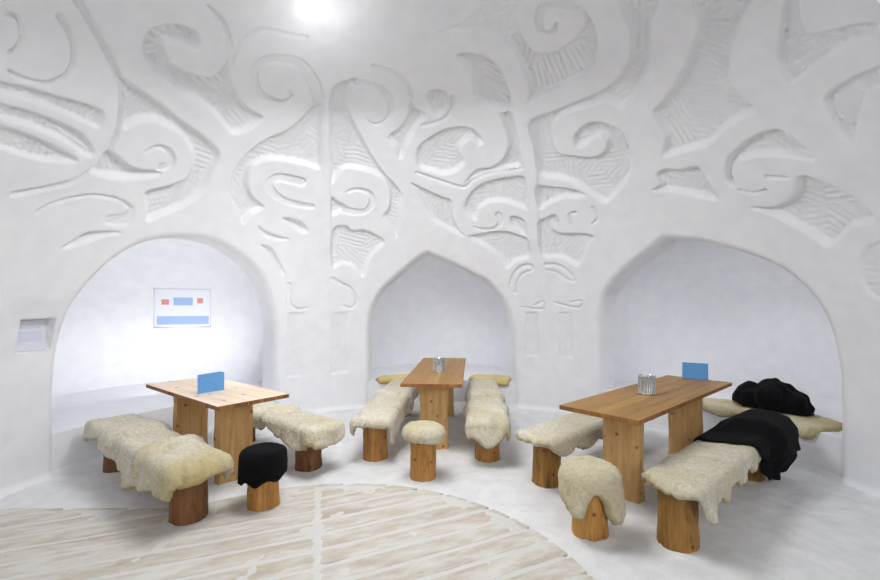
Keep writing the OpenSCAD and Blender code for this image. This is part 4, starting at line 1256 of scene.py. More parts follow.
sawn_edge = wood("sawn larch edge", "#a9743f", "#5b3a1e", "#3a2312", 0.7, 0.05, knots=False)
table_top("left", 3, ("#f0e0cb", "#ddc4a5", "#8a5c33"))
table_top("mid", 7, ("#b08649", "#8e662e", "#6b4424"))
table_top("right", 11, ("#b68a45", "#90682b", "#5c3a1b"))

# %% [markdown]
# ## Sheepskins
# A sheepskin is a supple hide with about 35 mm of crimped wool on it. It lies flat where the bench carries
# it, rolls over the edge and hangs straight down, and its wool stands in lumpy locks that part over
# every bend. Cloth simulation makes thin, slippery folds, which hides don't have. So each is cut
# from a flat grid along its own outline, laid over the bench by a formula that keeps its lengths, and
# then gets its wool as a second, lumpy face. It stays a closed padded piece.

# %% Wool materials
def wool(name, light, dark, yellow, deep, tuft, sheen):
    """Washed wool: soft white locks, yellower at the hide's edges, with painted shade between the locks
    and at the hem.
    """
    material, tree, shader = new_material(name, 0.95, 0.1)
    place = add(tree, "ShaderNodeTexCoord").outputs["Object"]
    tone = add(tree, "ShaderNodeAttribute", {"attribute_name": "tone"}).outputs["Fac"]
    painted_shade = add(tree, "ShaderNodeAttribute", {"attribute_name": "painted_shade"}).outputs["Fac"]
    locks = add(tree, "ShaderNodeTexNoise", inputs={"Vector": place, "Scale": 0.5 / tuft, "Detail": 5.0,
                                                    "Roughness": 0.65, "Distortion": 0.6})
    # The lock noise also drives the bump, so its low places come out darker: partly the wool's own
    # mottling, partly painted shade.
    base = ramp(tree, locks.outputs["Fac"], [(0.30, dark), (0.62, light)])
    base = mix(tree, tone, base, colour(yellow))
    # The attribute mixed in here paints shade with the deep colour, between the locks and along the hem.
    base = mix(tree, painted_shade, base, colour(deep))
    tree.links.new(base, shader.inputs["Base Color"])
    shader.inputs["Sheen Weight"].default_value = sheen
    shader.inputs["Sheen Roughness"].default_value = 0.6
    bump(tree, shader, locks.outputs["Fac"], 0.018, 0.9)
    return material


# The fifth colour of each wool is its painted shade, for the hollows between the locks and the hem.
sheepskin = wool("washed sheepskin", "#e1dccd", "#c1b9a1", "#bdac74", "#736849", 0.012, 0.12)
golden_wool = wool("golden sheepskin", "#e8dba6", "#cdb978", "#c2a95f", "#7a6839", 0.016, 0.15)
black_wool = wool("black fleece", "#0d0e12", "#060609", "#111115", "#020203", 0.006, 0.02)
print("made", sheepskin.name + ",", golden_wool.name, "and", black_wool.name)

# %% [markdown]
# A hide is worked out on the flat first. Its outline is made ragged, and the flat places are then laid
# over the seat: what reaches past the edge bends round it and hangs down, and the hanging part waves.

# %% From a flat outline to a hide that lies
BEND = 0.02
LOCKS = ((9, 0.42), (28, 0.34), (62, 0.24))
WAVE = (8, 3)
WAVE_START = 0.03
WAVE_LEAN = 0.35
COMBED = 0.45


def lumps(q, seed):
    """Locks of wool: from -1 to 1, in clumps of 110, 36 and 16 mm."""
    out = np.zeros(len(q))
    for scale, share in LOCKS:
        out += share * np.array([noise.noise(Vector((a * scale, b * scale, seed))) for a, b in q])
    return 2 * out


def ragged(outline, size, seed):
    """The outline as a smooth curve with small notches."""
    line = through(outline, True, 8)
    middle = line.mean(axis=0)
    push = np.array([noise.noise(Vector((a * 34, b * 34, seed + 5))) for a, b in line]) * size
    away = line - middle
    return line + away / np.hypot(*away.T)[:, None] * push[:, None]


def draped(q, clamp, seed, fold):
    """Where the places of a flat hide come to lie, and which way they face. Lengths are kept.
    clamp draws a place back onto what carries it. The wool is combed down where it hangs."""
    held = clamp(q)
    over = q - held
    d = np.hypot(*over.T)
    out = over / np.maximum(d, 1e-9)[:, None]
    angle = np.minimum(d / BEND, math.pi / 2)
    down = BEND * (1 - np.cos(angle)) + np.maximum(d - BEND * math.pi / 2, 0)
    waves = np.array([noise.noise(Vector((a * WAVE[0], b * WAVE[0], seed + WAVE[1])))
                      for a, b in held + out * WAVE_START])
    away = BEND * np.sin(angle) + np.maximum(down - WAVE_START, 0) * fold * (WAVE_LEAN + waves)
    spots = np.column_stack([held + out * away[:, None], -down])
    facing = np.column_stack([out * np.sin(angle)[:, None], np.cos(angle)])
    return spots, facing, held + out * (COMBED * d)[:, None]

# %% One hide
WOOL_STEP = 0.0125
LIE = 0.0015
SKIN = 0.005
PATCHES = (3.3, 8)


def flat_sheet(line):
    """A double sheet cut along a line from a grid: its lower face at height 0 and its upper one at 1."""
    low, high = line.min(axis=0), line.max(axis=0)
    bm = bmesh.new()
    count = np.ceil((high - low) / WOOL_STEP).astype(int)
    bmesh.ops.create_grid(bm, x_segments=int(count[0]), y_segments=int(count[1]), size=1)
    q = read_points(bm)[:, :2] * (high - low) / 2 + (high + low) / 2
    write_points(bm, np.column_stack([q, np.zeros(len(q))]))
    gone = [v for v, keep in zip(bm.verts, inside(q, line)) if not keep]
    bmesh.ops.delete(bm, geom=gone, context="VERTS")
    loose = [v for v in bm.verts if not v.link_faces]
    bmesh.ops.delete(bm, geom=loose, context="VERTS")
    for v in bm.verts:
        if v.is_boundary:
            v.co.x, v.co.y = nearest_on(np.array(v.co[:2]), line)
    made = bmesh.ops.extrude_face_region(bm, geom=bm.faces[:])["geom"]
    for v in made:
        if isinstance(v, bmesh.types.BMVert):
            v.co.z = 1
    return bm


def yellowness(q, inset, seed, yellow, yellow_at):
    """How yellow the wool is: in soft patches, at the edge, and round one place if one is given."""
    patches = [noise.noise(Vector((a * PATCHES[0], b * PATCHES[0], seed + PATCHES[1]))) for a, b in q]
    tone = yellow + 0.5 * np.array(patches) + 0.25 * smooth(1 - inset / 0.06)
    if yellow_at is not None:
        tone += 0.7 * smooth(1 - np.hypot(*(q - np.array(yellow_at[:2])).T) / yellow_at[2])
    return np.clip(tone, 0, 1)


def hide(name, node, outline, clamp, to_world, thick=0.034, under=(), seed=1.0, rough=0.009, rag=0.018,
         fold=0.3, yellow=0.1, edge=0.05, material=None, slot="sheepskin", yellow_at=None):
    """Lays a hide, lifts it over those under it, and raises its wool, which thins out at the edge."""
    line = ragged(outline, rag, seed)
    bm = flat_sheet(line)
    points = read_points(bm)
    q, top = points[:, :2], points[:, 2] > 0.5
    inset, _ = edge_distance(q, line, True)
    spots, facing, combed = draped(q, clamp, seed, fold)
    lift = LIE
    for other in under:
        d, _ = edge_distance(q, other["line"], True)
        within = np.where(inside(q, other["line"]), d, 0)
        lift = lift + other["thick"] * smooth(within / other.get("edge", edge))
    locks = lumps(combed, seed)
    rim = np.sqrt(1 - (1 - np.clip(inset / edge, 0, 1)) ** 2)
    deep = np.where(top, SKIN + (thick + rough * locks) * rim, 0.0)
    write_points(bm, to_world(spots + facing * (lift + deep)[:, None]))
    # Painted shade: darker where the locks sink, and along the outer 2 cm of the hem.
    painted_shade = np.clip(-0.9 * locks - 0.25, 0, 1) * 0.5 + 0.35 * (1 - rim) * (inset < 0.02)
    piece = finish_piece(bm, name, [material or sheepskin])
    for label, values in (("tone", yellowness(q, inset, seed, yellow, yellow_at)),
                          ("painted_shade", np.clip(painted_shade, 0, 0.8))):
        layer = piece.data.attributes.new(label, "FLOAT", "POINT")
        layer.data.foreach_set("value", values.astype(np.float32))
    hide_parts(node)
    return {"piece": piece, "line": line, "thick": thick}

# %% [markdown]
# The hides of one bench share a flat frame: along the table from its middle, and outward from the
# bench's own middle line. The bench's seat is the rectangle that carries them.

# %% Frame of a bench
def bench_frame(which, index):
    """How places on a bench's flat frame are drawn back onto the seat, and how they lie in the hall."""
    side, start, end = BENCHES[which][index][:3]
    x, y, turn = TABLES[which]
    a = math.radians(turn)

    def clamp(q):
        return np.column_stack([np.clip(q[:, 0], start, end), np.clip(q[:, 1], -BENCH_HALF, BENCH_HALF)])

    def to_world(p):
        u, v = p[:, 0], side * (BENCH_OFF + p[:, 1])
        return np.column_stack([x + u * math.cos(a) - v * math.sin(a),
                                y + u * math.sin(a) + v * math.cos(a), SEAT_TOP + p[:, 2]])
    return clamp, to_world


def dress_bench(which, index, hides):
    """Lays the hides of one bench, each over the one before it."""
    clamp, to_world = bench_frame(which, index)
    laid = []
    for number, (outline, options) in enumerate(hides):
        name = "sheepskin_" + which + "_" + "ab"[index] + str(number + 1)
        laid.append(hide(name, "fleeces_" + which, outline, clamp, to_world, under=laid[-1:],
                         seed=3.1 * number + 7.7 * index + len(which), **options))

# %% Hides on the benches
dress_bench("left", 0, [
    ([(0.10, -0.25), (0.5, -0.29), (0.85, -0.25), (0.99, -0.1), (1.0, 0.10), (0.95, 0.30), (0.72, 0.27),
      (0.5, 0.24), (0.3, 0.30), (0.08, 0.24), (0.02, 0)], {"yellow": 0.0}),
    ([(-0.62, -0.22), (-0.35, -0.30), (0.0, -0.26), (0.25, -0.29), (0.42, -0.12), (0.38, 0.12),
      (0.28, 0.33), (0.05, 0.30), (-0.12, 0.36), (-0.30, 0.42), (-0.45, 0.40), (-0.58, 0.32),
      (-0.66, 0.1)], {"yellow": 0.12}),
    ([(-0.47, -0.20), (-0.56, -0.27), (-0.80, -0.24), (-1.0, -0.30), (-1.12, -0.27), (-1.15, -0.05),
      (-1.17, 0.12), (-1.10, 0.30), (-0.98, 0.34), (-0.80, 0.33), (-0.64, 0.37), (-0.55, 0.31),
      (-0.43, 0)],
     {"yellow": 0.2, "thick": 0.046, "rough": 0.013, "yellow_at": (-1.15, 0.05, 0.34)}),
])
dress_bench("left", 1, [
    ([(-0.20, -0.27), (0.2, -0.24), (0.6, -0.28), (0.82, -0.2), (0.86, 0), (0.82, 0.2), (0.4, 0.27),
      (0, 0.25), (-0.26, 0.2), (-0.32, 0)], {"yellow": 0.0}),
    ([(-0.30, -0.24), (-0.55, -0.30), (-0.82, -0.34), (-0.96, -0.30), (-1.08, -0.20), (-1.13, 0.0),
      (-1.08, 0.2), (-0.9, 0.28), (-0.55, 0.25), (-0.24, 0.27), (-0.12, 0.1), (-0.14, -0.1)],
     {"yellow": 0.08, "yellow_at": (-1.0, -0.3, 0.2)}),
])
dress_bench("mid", 0, [
    ([(-0.1, -0.34), (0.35, -0.30), (0.75, -0.33), (0.93, -0.2), (0.96, 0), (0.9, 0.2), (0.4, 0.25),
      (-0.1, 0.22), (-0.22, 0)], {"yellow": 0.05}),
    ([(-1.33, -0.12), (-1.32, -0.2), (-1.34, -0.36), (-1.18, -0.40), (-0.98, -0.33), (-0.55, -0.32),
      (-0.10, -0.35), (0.02, -0.15), (0.02, 0.1), (-0.1, 0.24), (-0.6, 0.26), (-1.0, 0.24), (-1.22, 0.31),
      (-1.34, 0.26), (-1.32, 0.1)], {"yellow": 0.0, "thick": 0.032}),
])
dress_bench("mid", 1, [
    ([(-0.05, -0.26), (0.4, -0.24), (0.8, -0.27), (0.98, -0.1), (0.98, 0.1), (0.85, 0.24), (0.4, 0.22),
      (-0.1, 0.26), (-0.2, 0)], {"yellow": 0.05}),
    ([(-0.80, -0.23), (-0.5, -0.26), (-0.15, -0.24), (0.06, -0.2), (0.1, 0), (0.05, 0.2), (-0.2, 0.25),
      (-0.6, 0.24), (-0.84, 0.2), (-0.9, 0)], {"yellow": 0.15}),
    ([(-0.66, -0.24), (-1.0, -0.26), (-1.2, -0.29), (-1.36, -0.26), (-1.38, -0.14), (-1.47, -0.02),
      (-1.42, 0.1), (-1.33, 0.2), (-1.3, 0.31), (-1.1, 0.29), (-0.9, 0.25), (-0.68, 0.24), (-0.6, 0)],
     {"yellow": 0.25}),
])
dress_bench("right", 0, [
    ([(-0.05, -0.27), (0.3, -0.33), (0.6, -0.26), (0.88, -0.3), (0.96, -0.1), (0.95, 0.1), (0.8, 0.22),
      (0.3, 0.24), (-0.1, 0.2), (-0.15, 0)], {"yellow": 0.1}),
    ([(-1.12, -0.16), (-1.04, -0.24), (-0.9, -0.3), (-0.72, -0.26), (-0.55, -0.33), (-0.35, -0.27),
      (-0.12, -0.34), (0.06, -0.22), (0.08, 0.05), (0.0, 0.24), (-0.5, 0.22), (-0.95, 0.24), (-1.10, 0.17),
      (-1.13, 0)], {"yellow": 0.15, "thick": 0.034}),
])
dress_bench("right", 1, [
    ([(-1.19, -0.18), (-1.08, -0.24), (-0.7, -0.22), (-0.3, -0.24), (0.12, -0.22), (0.2, 0.0),
      (0.12, 0.26), (-0.1, 0.32), (-0.24, 0.25), (-0.42, 0.33), (-0.6, 0.25), (-0.78, 0.34),
      (-0.93, 0.27), (-1.1, 0.36), (-1.21, 0.28), (-1.27, 0.08), (-1.25, -0.08)],
     {"yellow": 0.12, "thick": 0.024, "edge": 0.025}),
    ([(0.2, -0.24), (0.5, -0.22), (0.84, -0.26), (0.95, -0.05), (0.93, 0.15), (0.82, 0.34), (0.6, 0.27),
      (0.35, 0.26), (0.22, 0.1)], {"yellow": 0.3, "thick": 0.024}),
])

# %% [markdown]
# The stools and the snow seats carry hides too. Only the shape that carries them differs: a disc for a
# stool, and a curved ledge for a seat, where the flat frame runs along the ledge's edge.

# %% Frames of a stool and of a ledge
LEDGE_R = HALL_R + 0.02
LEDGE_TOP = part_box("seat_left")[1][2]


def stool_frame(which):
    x, y = STOOLS[which]

    def clamp(q):
        rho = np.maximum(np.hypot(*q.T), 1e-9)
        return q * np.minimum(1, (STOOL_R + 0.001) / rho)[:, None]

    return clamp, lambda p: p + np.array([x, y, STOOL_TOP])


def ledge_frame(az):
    def clamp(q):
        return np.column_stack([q[:, 0], np.maximum(q[:, 1], 0)])

    def to_world(p):
        a = math.radians(az) - p[:, 0] / LEDGE_R
        r = LEDGE_R + p[:, 1]
        return np.column_stack([r * np.cos(a), r * np.sin(a), LEDGE_TOP + p[:, 2]])
    return clamp, to_world


def round_outline(reach):
    """An outline from its reach at equal steps of angle, from +X round by +Y."""
    turns = [2 * math.pi * i / len(reach) for i in range(len(reach))]
    return [(r * math.cos(turn), r * math.sin(turn)) for r, turn in zip(reach, turns)]


def dress(name, node, frame_of, fill, outline, **options):
    clamp, to_world = frame_of
    laid = hide(name, node, outline, clamp, to_world, **options)

# %% Hides on the stools
dress("black_cover", "stool_cover_left", stool_frame("left"), 0.3,
      round_outline([0.30, 0.33, 0.31, 0.34, 0.31, 0.32, 0.33, 0.36, 0.32, 0.35, 0.31, 0.33]),
      thick=0.026, rough=0.004, rag=0.004, fold=0.1, edge=0.03, seed=2.2, material=black_wool,
      slot="black_fleece", yellow=0.0)
dress("rolled_sheepskin", "stool_cover_mid", stool_frame("mid"), 0.7,
      round_outline([0.225, 0.21, 0.20, 0.205, 0.215, 0.21, 0.215, 0.20, 0.215, 0.225]),
      thick=0.052, rough=0.008, edge=0.08, fold=0.1, seed=4.4, yellow=0.3)
dress("lobed_sheepskin", "stool_cover_right", stool_frame("right"), 0.4,
      round_outline([0.24, 0.22, 0.20, 0.19, 0.20, 0.22, 0.21, 0.22, 0.25, 0.30, 0.36, 0.40, 0.37, 0.24,
                     0.26, 0.38, 0.44, 0.38]),
      thick=0.056, rough=0.011, edge=0.06, fold=0.2, seed=6.1, yellow=0.45)

# %% Hides on the snow seats
dress("niche_sheepskin_left", "niche_fleeces", ledge_frame(100.5), 0.4,
      [(-0.30, 0.16), (-0.1, 0.33), (0.2, 0.36), (0.31, 0.2), (0.30, -0.03), (0.2, -0.06), (0.16, -0.13),
       (0.12, -0.22), (0.05, -0.15), (-0.03, -0.08), (-0.14, -0.04), (-0.28, -0.03)],
      thick=0.045, rough=0.012, seed=1.9, yellow=0.3, material=golden_wool)
dress("niche_sheepskin_right", "niche_fleeces", ledge_frame(78.0), 0.4,
      [(-0.30, 0.0), (-0.28, 0.26), (0.0, 0.34), (0.27, 0.3), (0.32, 0.1), (0.28, -0.07), (0.1, -0.05),
       (-0.1, -0.07)],
      thick=0.045, rough=0.012, seed=9.3, yellow=0.2, material=golden_wool)
dress("niche_sheepskin_wide", "niche_fleeces", ledge_frame(24.3), 0.4,
      [(-0.64, 0.1), (-0.6, 0.36), (-0.2, 0.5), (0.25, 0.52), (0.58, 0.44), (0.66, 0.2), (0.63, -0.06),
       (0.52, -0.10), (0.4, -0.05), (0.1, -0.08), (-0.1, -0.05), (-0.3, -0.09), (-0.48, -0.05),
       (-0.62, -0.02)],
      thick=0.032, rough=0.009, rag=0.02, seed=5.7, yellow=0.6)

# %% [markdown]
# ## Black blanket and bundle
# The blanket is a thick knitted cloth thrown over the far half of the near bench. It lies over the
# two hides, bulges over its own folds, and hangs past the bench's far end and outer side. It is cut
# from a flat sheet and laid by the same formula as the hides.
#
# The bundle is a heap of folded jackets. It is built from a ball that is pressed flat below and pushed
# out into a peak and two wings. Folds run down from the peak, as in cloth that was dropped in a heap.

# %% Blanket
BLANKET = [(-0.20, -0.15), (0.0, -0.22), (0.15, -0.24), (0.5, -0.23), (0.84, -0.27), (1.06, -0.18),
           (1.14, 0.06), (1.12, 0.26), (1.04, 0.40), (0.92, 0.46), (0.82, 0.42), (0.72, 0.48),
           (0.60, 0.52), (0.42, 0.51), (0.30, 0.45), (0.22, 0.32), (0.08, 0.25), (-0.06, 0.14),
           (-0.17, -0.02)]
UNDER_BLANKET = [
    {"line": np.array([(-1.3, -0.25), (0.9, -0.25), (0.9, 0.30), (-1.3, 0.30)]), "thick": 0.036},
    {"line": np.array([(0.10, -0.14), (0.5, -0.2), (0.95, -0.16), (1.08, 0.1), (1.02, 0.44),
                       (0.6, 0.52), (0.3, 0.34)]), "thick": 0.10, "edge": 0.17},
]


def blanket():
    """Lays the sheet over the far bench and over what lies under it."""
    clamp, to_world = bench_frame("right", 1)
    laid = hide("black_blanket_cloth", "black_blanket", BLANKET, clamp, to_world, thick=0.009,
                under=UNDER_BLANKET, seed=3.6, rough=0.002, rag=0.004, fold=0.35, edge=0.012,
                material=black_wool, slot="black_fleece", yellow=0.0)


blanket()

# %% Bundle of jackets
BUNDLE_AZ = 24.0
BUNDLE_R = HALL_R + 0.35
BUNDLE_FOOT = LEDGE_TOP + 0.052
LOBES = [(-0.05, 0.02, 0.13, 0.19), (-0.02, 0.0, 0.21, 0.13), (-0.20, 0.0, 0.06, 0.15),
         (0.17, 0.02, 0.08, 0.17), (0.27, -0.02, 0.03, 0.12), (-0.27, -0.05, 0.0, 0.11),
         (0.02, -0.10, 0.05, 0.17)]
LEAST_REACH = 0.1
FOLDS = 9
FOLD_DEEP = 0.13
FOLD_WANDER = (2.2, 4.0)
FOLD_LEAN = 5
BULGE = (0.16, 5.0)
CREASE = (0.09, 15.0)
PRESSED_FLAT = 0.004


def bump_by(place, size, scale):
    """A swelling or a crease at a place: its size, and how many of them lie in a metre."""
    return size * noise.noise(place * scale)


def bundle():
    """A ball whose every place is pushed out to the farthest lobe, and then folded."""
    bm = bmesh.new()
    bmesh.ops.create_icosphere(bm, subdivisions=5, radius=1)
    a = math.radians(BUNDLE_AZ)
    for v in bm.verts:
        n = v.co.normalized()
        reach = 0.0
        for x, y, z, r in LOBES:
            c = Vector((x, y, z))
            b = n.dot(c)
            gap = b * b - c.length_squared + r * r
            if gap > 0:
                reach = max(reach, b + math.sqrt(gap))
        place = n * max(reach, LEAST_REACH)
        run = math.atan2(n.y, n.x) * FOLDS / 2 + bump_by(place, *FOLD_WANDER) + FOLD_LEAN * place.z
        fold = abs(math.sin(run)) * min(1, 1.4 * math.hypot(n.x, n.y))
        place *= 1 + bump_by(place, *BULGE) + bump_by(place, *CREASE) + FOLD_DEEP * (fold - 0.6)
        place.z = max(place.z, PRESSED_FLAT)
        v.co = place
    bmesh.ops.smooth_vert(bm, verts=bm.verts, factor=0.5, use_axis_x=True, use_axis_y=True,
                          use_axis_z=True)
    there = Matrix.Translation((BUNDLE_R * math.cos(a), BUNDLE_R * math.sin(a), BUNDLE_FOOT))
    bmesh.ops.transform(bm, matrix=there @ Matrix.Rotation(a + math.pi / 2, 4, "Z"), verts=bm.verts)
    piece = finish_piece(bm, "jacket_bundle", [black_wool])
    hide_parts("black_bundle")


bundle()

# %% [markdown]
# ## Small things
# The tins are tinplate cans pressed with upright flutes. A circle is drawn out of round by the flutes,
# raised, and given a rolled rim and an inner wall. The cards are folded pasteboard. The poster and the
# notice are printed boards: what was on them is left bare, apart from plain blocks of colour.

# %% Tins
TINS = {"mid": (-0.01, 1.99), "right": (1.84, 0.74)}
TIN_R = 0.075
TIN_H = 0.165
FLUTES = 22
FLUTE_DEEP = 0.022
FLUTE_ENDS = (0.015, 0.155)
TIN_AROUND = FLUTES * 8
RESTS = 0.0004


def tin(place):
    """A profile from the middle of the foot, up the wall, over the rim and down inside, spun round."""
    bm = bmesh.new()
    profile = [(0.0, 0.003), (0.9, 0.003), (0.97, 0.0), (1.0, 0.004), (1.0, 0.012), (0.965, 0.016),
               (0.965, 0.150), (0.965, 0.154), (1.0, 0.158), (1.005, 0.163), (0.99, TIN_H), (0.965, 0.163),
               (0.955, 0.152), (0.955, 0.016), (0.9, 0.008), (0.0, 0.008)]
    spine = [bm.verts.new((r * TIN_R, 0, z)) for r, z in profile]
    edges = [bm.edges.new(pair) for pair in zip(spine, spine[1:])]
    bmesh.ops.spin(bm, geom=spine + edges, cent=(0, 0, 0), axis=(0, 0, 1), angle=2 * math.pi,
                   steps=TIN_AROUND, use_merge=True)
    bmesh.ops.remove_doubles(bm, verts=bm.verts, dist=1e-5)
    for v in bm.verts:
        r = math.hypot(v.co.x, v.co.y)
        if r > 0.94 * TIN_R and FLUTE_ENDS[0] < v.co.z < FLUTE_ENDS[1]:
            flute = 1 - FLUTE_DEEP * (1 - math.cos(FLUTES * math.atan2(v.co.y, v.co.x)))
            v.co.x *= flute
            v.co.y *= flute
    bmesh.ops.translate(bm, vec=(place[0], place[1], TABLE_TOP + RESTS), verts=bm.verts)
    return bm


def tinplate():
    """Tinplate: bright rolled steel with a thin tin coat, faintly hazed in patches by handling."""
    material, tree, shader = new_material("tinplate", 0.3)
    shader.inputs["Metallic"].default_value = 1.0
    place = add(tree, "ShaderNodeTexCoord").outputs["Object"]
    haze = add(tree, "ShaderNodeTexNoise", inputs={"Vector": place, "Scale": 45.0, "Detail": 4.0})
    tree.links.new(ramp(tree, haze.outputs["Fac"], [(0.3, "#b9bbbe"), (0.7, "#d6d8da")]),
                   shader.inputs["Base Color"])
    rough = add(tree, "ShaderNodeMapRange", inputs={"Value": haze.outputs["Fac"], "To Min": 0.18,
                                                    "To Max": 0.42})
    tree.links.new(rough.outputs["Result"], shader.inputs["Roughness"])
    return material


join("fluted_tins", [tin(p) for p in TINS.values()], tinplate(), "tins")

# %% Cards
CARDS = [(-2.09, 0.83, 60), (2.72, 1.51, -35)]
CARD = (0.24, 0.17, 0.0018)
CARD_SPREAD = 0.05
CARD_EASE = 0.0005


def pasteboard(name, light, dark, rough=0.45):
    """Coated pasteboard: an even printed ground, very slightly mottled by the fibres under it."""
    material, tree, shader = new_material(name, rough)
    place = add(tree, "ShaderNodeTexCoord").outputs["Object"]
    fibre = add(tree, "ShaderNodeTexNoise", inputs={"Vector": place, "Scale": 90.0, "Detail": 3.0})
    tint = ramp(tree, fibre.outputs["Fac"], [(0.3, dark), (0.7, light)])
    tree.links.new(tint, shader.inputs["Base Color"])
    bump(tree, shader, fibre.outputs["Fac"], 0.0004, 0.5)
    return material


def card(x, y, turn):
    """Two upright leaves that meet at an upright fold and stand a little open."""
    bm = bmesh.new()
    width, height, thick = CARD
    for side in (1, -1):
        leaf = bmesh.ops.create_cube(bm, size=1)["verts"]
        bmesh.ops.scale(bm, vec=(thick, width, height), verts=leaf)
        open_by = Matrix.Rotation(side * math.atan2(CARD_SPREAD / 2, width), 4, "Z")
        aside = Matrix.Translation((side * CARD_SPREAD / 4, 0, height / 2))
        bmesh.ops.transform(bm, matrix=aside @ open_by, verts=leaf)
    bmesh.ops.bevel(bm, geom=bm.edges[:], offset=CARD_EASE, affect="EDGES", segments=1, profile=0.5,
                    material=-1)
    low = min(v.co.z for v in bm.verts)
    there = Matrix.Translation((x, y, TABLE_TOP + RESTS - low))
    bmesh.ops.transform(bm, matrix=there @ Matrix.Rotation(math.radians(turn + 90), 4, "Z"),
                        verts=bm.verts)
    return bm


join("folded_cards", [card(*c) for c in CARDS], pasteboard("blue pasteboard", "#639fd8", "#5792cc"),
     "menu_cards")

# %% Poster and notice
BOARD_BEVEL = 0.0015
INK = 0.0008


def board(name, node, blocks, ground, prints):
    """A bevelled board that stands where its node does, with shallow printed blocks on its face."""
    bm = bmesh.new()
    bm.from_mesh(nodes[node].data)
    bmesh.ops.remove_doubles(bm, verts=bm.verts, dist=1e-5)
    bmesh.ops.dissolve_limit(bm, angle_limit=0.02, verts=bm.verts, edges=bm.edges)
    bmesh.ops.bevel(bm, geom=bm.edges[:], offset=BOARD_BEVEL, affect="EDGES", segments=2, profile=0.5,
                    material=-1)
    bm.normal_update()
    inner = [f for f in bm.faces if f.normal.dot(-f.calc_center_median().xy.to_3d()) > 0]
    front = max(inner, key=lambda f: f.calc_area())
    middle, ahead = front.calc_center_median(), front.normal.copy()
    across = Vector((0, 0, 1)).cross(ahead).normalized()
    turn = ahead.to_track_quat("X", "Z").to_matrix().to_4x4()
    for index, (left, low, wide, high) in enumerate(blocks):
        there = Matrix.Translation(middle + across * left + Vector((0, 0, low)))
        made = bmesh.ops.create_cube(bm, size=1, matrix=there @ turn
                                     @ Matrix.Diagonal((INK, wide, high, 1)))["verts"]
        for f in {f for v in made for f in v.link_faces}:
            f.material_index = index % 2 + 1
    inks = [pasteboard("printed " + label, *tones) for label, tones in prints.items()]
    piece = finish_piece(bm, name, [ground] + inks)
    piece.data.shade_flat()
    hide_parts(node)


white_board = pasteboard("white pasteboard", "#eef0f6", "#e6e9f2")
pale_board = pasteboard("grey pasteboard", "#dfe3ea", "#d3d8e0")
board("poster_board", "poster",
      [(-0.24, 0.09, 0.10, 0.08), (0.0, 0.10, 0.26, 0.12), (0.23, 0.11, 0.08, 0.08),
       (0.0, -0.19, 0.70, 0.13)],
      white_board, {"red": ("#e39a98", "#db8d8b"), "blue": ("#aac4ea", "#9ab7e2")})
board("notice_board", "notice", [(0.0, 0.07, 0.16, 0.02), (0.0, -0.01, 0.18, 0.09)], pale_board,
      {"violet": ("#cfd1e6", "#c8cbe2"), "grey": ("#d3d7e8", "#cbd0e4")})

# %% [markdown]
# ## Materials of the pieces from the model
# The snow walls, the seats, the floor and the plank seats of the benches keep the model's own shape,
# so each only gets its finish. The plank seats run along their table, and so does their grain.

# %% Give each node its material
plank_wood = {w: wood("bench spruce " + w, "#d9b27c", "#b5854d", "#6b4525", 0.6, 0.02, turn=TABLES[w][2])
              for w in TABLES}
for name, node in nodes.items():
    node.data.materials.clear()
    if name.startswith("benches_"):
        node.data.materials.append(plank_wood[name[8:]])
    else:
        node.data.materials.append(trodden_snow if name == "snow_floor" else snow)
print("finished", len(nodes), "nodes of the model")

# %% [markdown]
# ## Light and camera
# One lamp hangs in the vault, as in the hall, and a small one lights its crown close by. Each niche
# has its own glow, and the left one's shines on its back wall. A wide light fills in from the open
# side, and two more light the outside from behind. The camera has a wide lens and stands level.

# %% Stage
STAGE_REACH = 60


def place_on_stage():
    """A wide pale floor, a millimetre under the object's own foot."""
    bm = bmesh.new()
    bmesh.ops.create_grid(bm, x_segments=1, y_segments=1, size=STAGE_REACH)
    mesh = bpy.data.meshes.new("floor")
    bm.to_mesh(mesh)
    bm.free()
    floor = bpy.data.objects.new("floor", mesh)
    floor.location.z = -0.001
    bpy.context.scene.collection.objects.link(floor)
    material, _, shader = new_material("pale studio floor", 0.9)
    shader.inputs["Base Color"].default_value = colour("#e4e4e2")
    mesh.materials.append(material)


place_on_stage()

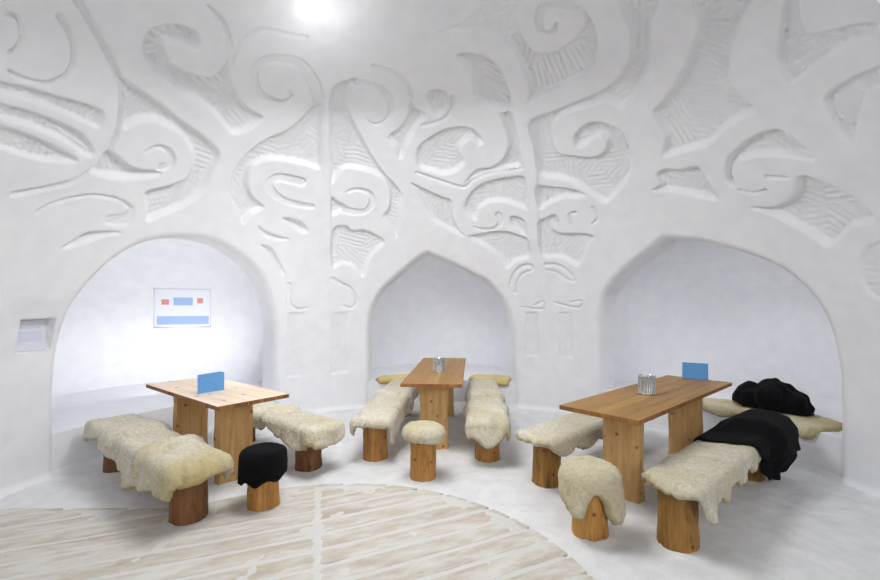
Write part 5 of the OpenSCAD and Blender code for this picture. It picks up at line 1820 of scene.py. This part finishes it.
# %% Lamps, each with its place, what it is aimed at, its width and its power in watts
LAMPS = {
    "vault_light": ((-0.5, 0.2, 3.6), (-0.3, 0.9, 0), 1.4, 84),
    "crown_light": ((-1.02, 0.38, 4.07), (-1.09, 0.44, 4.27), 0.16, 0.15),
    "crown_glow": ((-0.85, 0.4, 3.75), (-1.05, 0.5, 4.2), 0.3, 1.2),
    "left_niche_light": ((-3.32, 2.45, 0.85), (-4.15, 3.06, 2.0), 0.5, 13),
    "left_glow": ((-1.5, 1.3, 1.5), (-2.4, 2.8, 1.2), 0.9, 5),
    "middle_light": ((0.03, 3.7, 2.1), (0.03, 4.3, 1.3), 0.5, 9),
    "right_light": ((3.3, 2.0, 2.1), (3.65, 2.3, 1.5), 0.5, 9),
    "front_light": ((1.5, -5.5, 3.6), (0.2, 3, 1.4), 3.4, 122),
    "back_light": ((5, 14, 9), (0, 2, 1.5), 9, 850),
    "side_light": ((-13, 5, 8), (0, 2, 1.5), 9, 650),
}
WORLD_TINT = "#f3f3f5"
WORLD_STRENGTH = 0.325


def area_light(name, place, aim, size, power):
    lamp = bpy.data.lights.new(name, "AREA")
    lamp.shape = "DISK"
    lamp.size = size
    lamp.energy = power
    light = bpy.data.objects.new(name, lamp)
    light.location = place
    light.rotation_euler = (Vector(aim) - Vector(place)).to_track_quat("-Z", "Y").to_euler()
    light.visible_camera = False
    bpy.context.scene.collection.objects.link(light)


world = bpy.data.worlds.new("studio")
bpy.context.scene.world = world
world.use_nodes = True
background = world.node_tree.nodes["Background"]
background.inputs["Color"].default_value = colour(WORLD_TINT)
background.inputs["Strength"].default_value = WORLD_STRENGTH
for name, numbers in LAMPS.items():
    area_light(name, *numbers)
print("lit by", len(LAMPS), "lamps")

# %% Camera
EYE = (0, -3.12, FLOOR + 1.56)
LENS = 17.755
SHIFT = 0.0159

camera_data = bpy.data.cameras.new("camera")
camera_data.sensor_width = 36
camera_data.lens = LENS
camera_data.shift_y = SHIFT
camera = bpy.data.objects.new("camera", camera_data)
camera.location = EYE
camera.rotation_euler = (math.pi / 2, 0, 0)
bpy.context.scene.collection.objects.link(camera)
bpy.context.scene.camera = camera
bpy.context.scene.view_settings.view_transform = "Standard"
print("camera at", EYE)
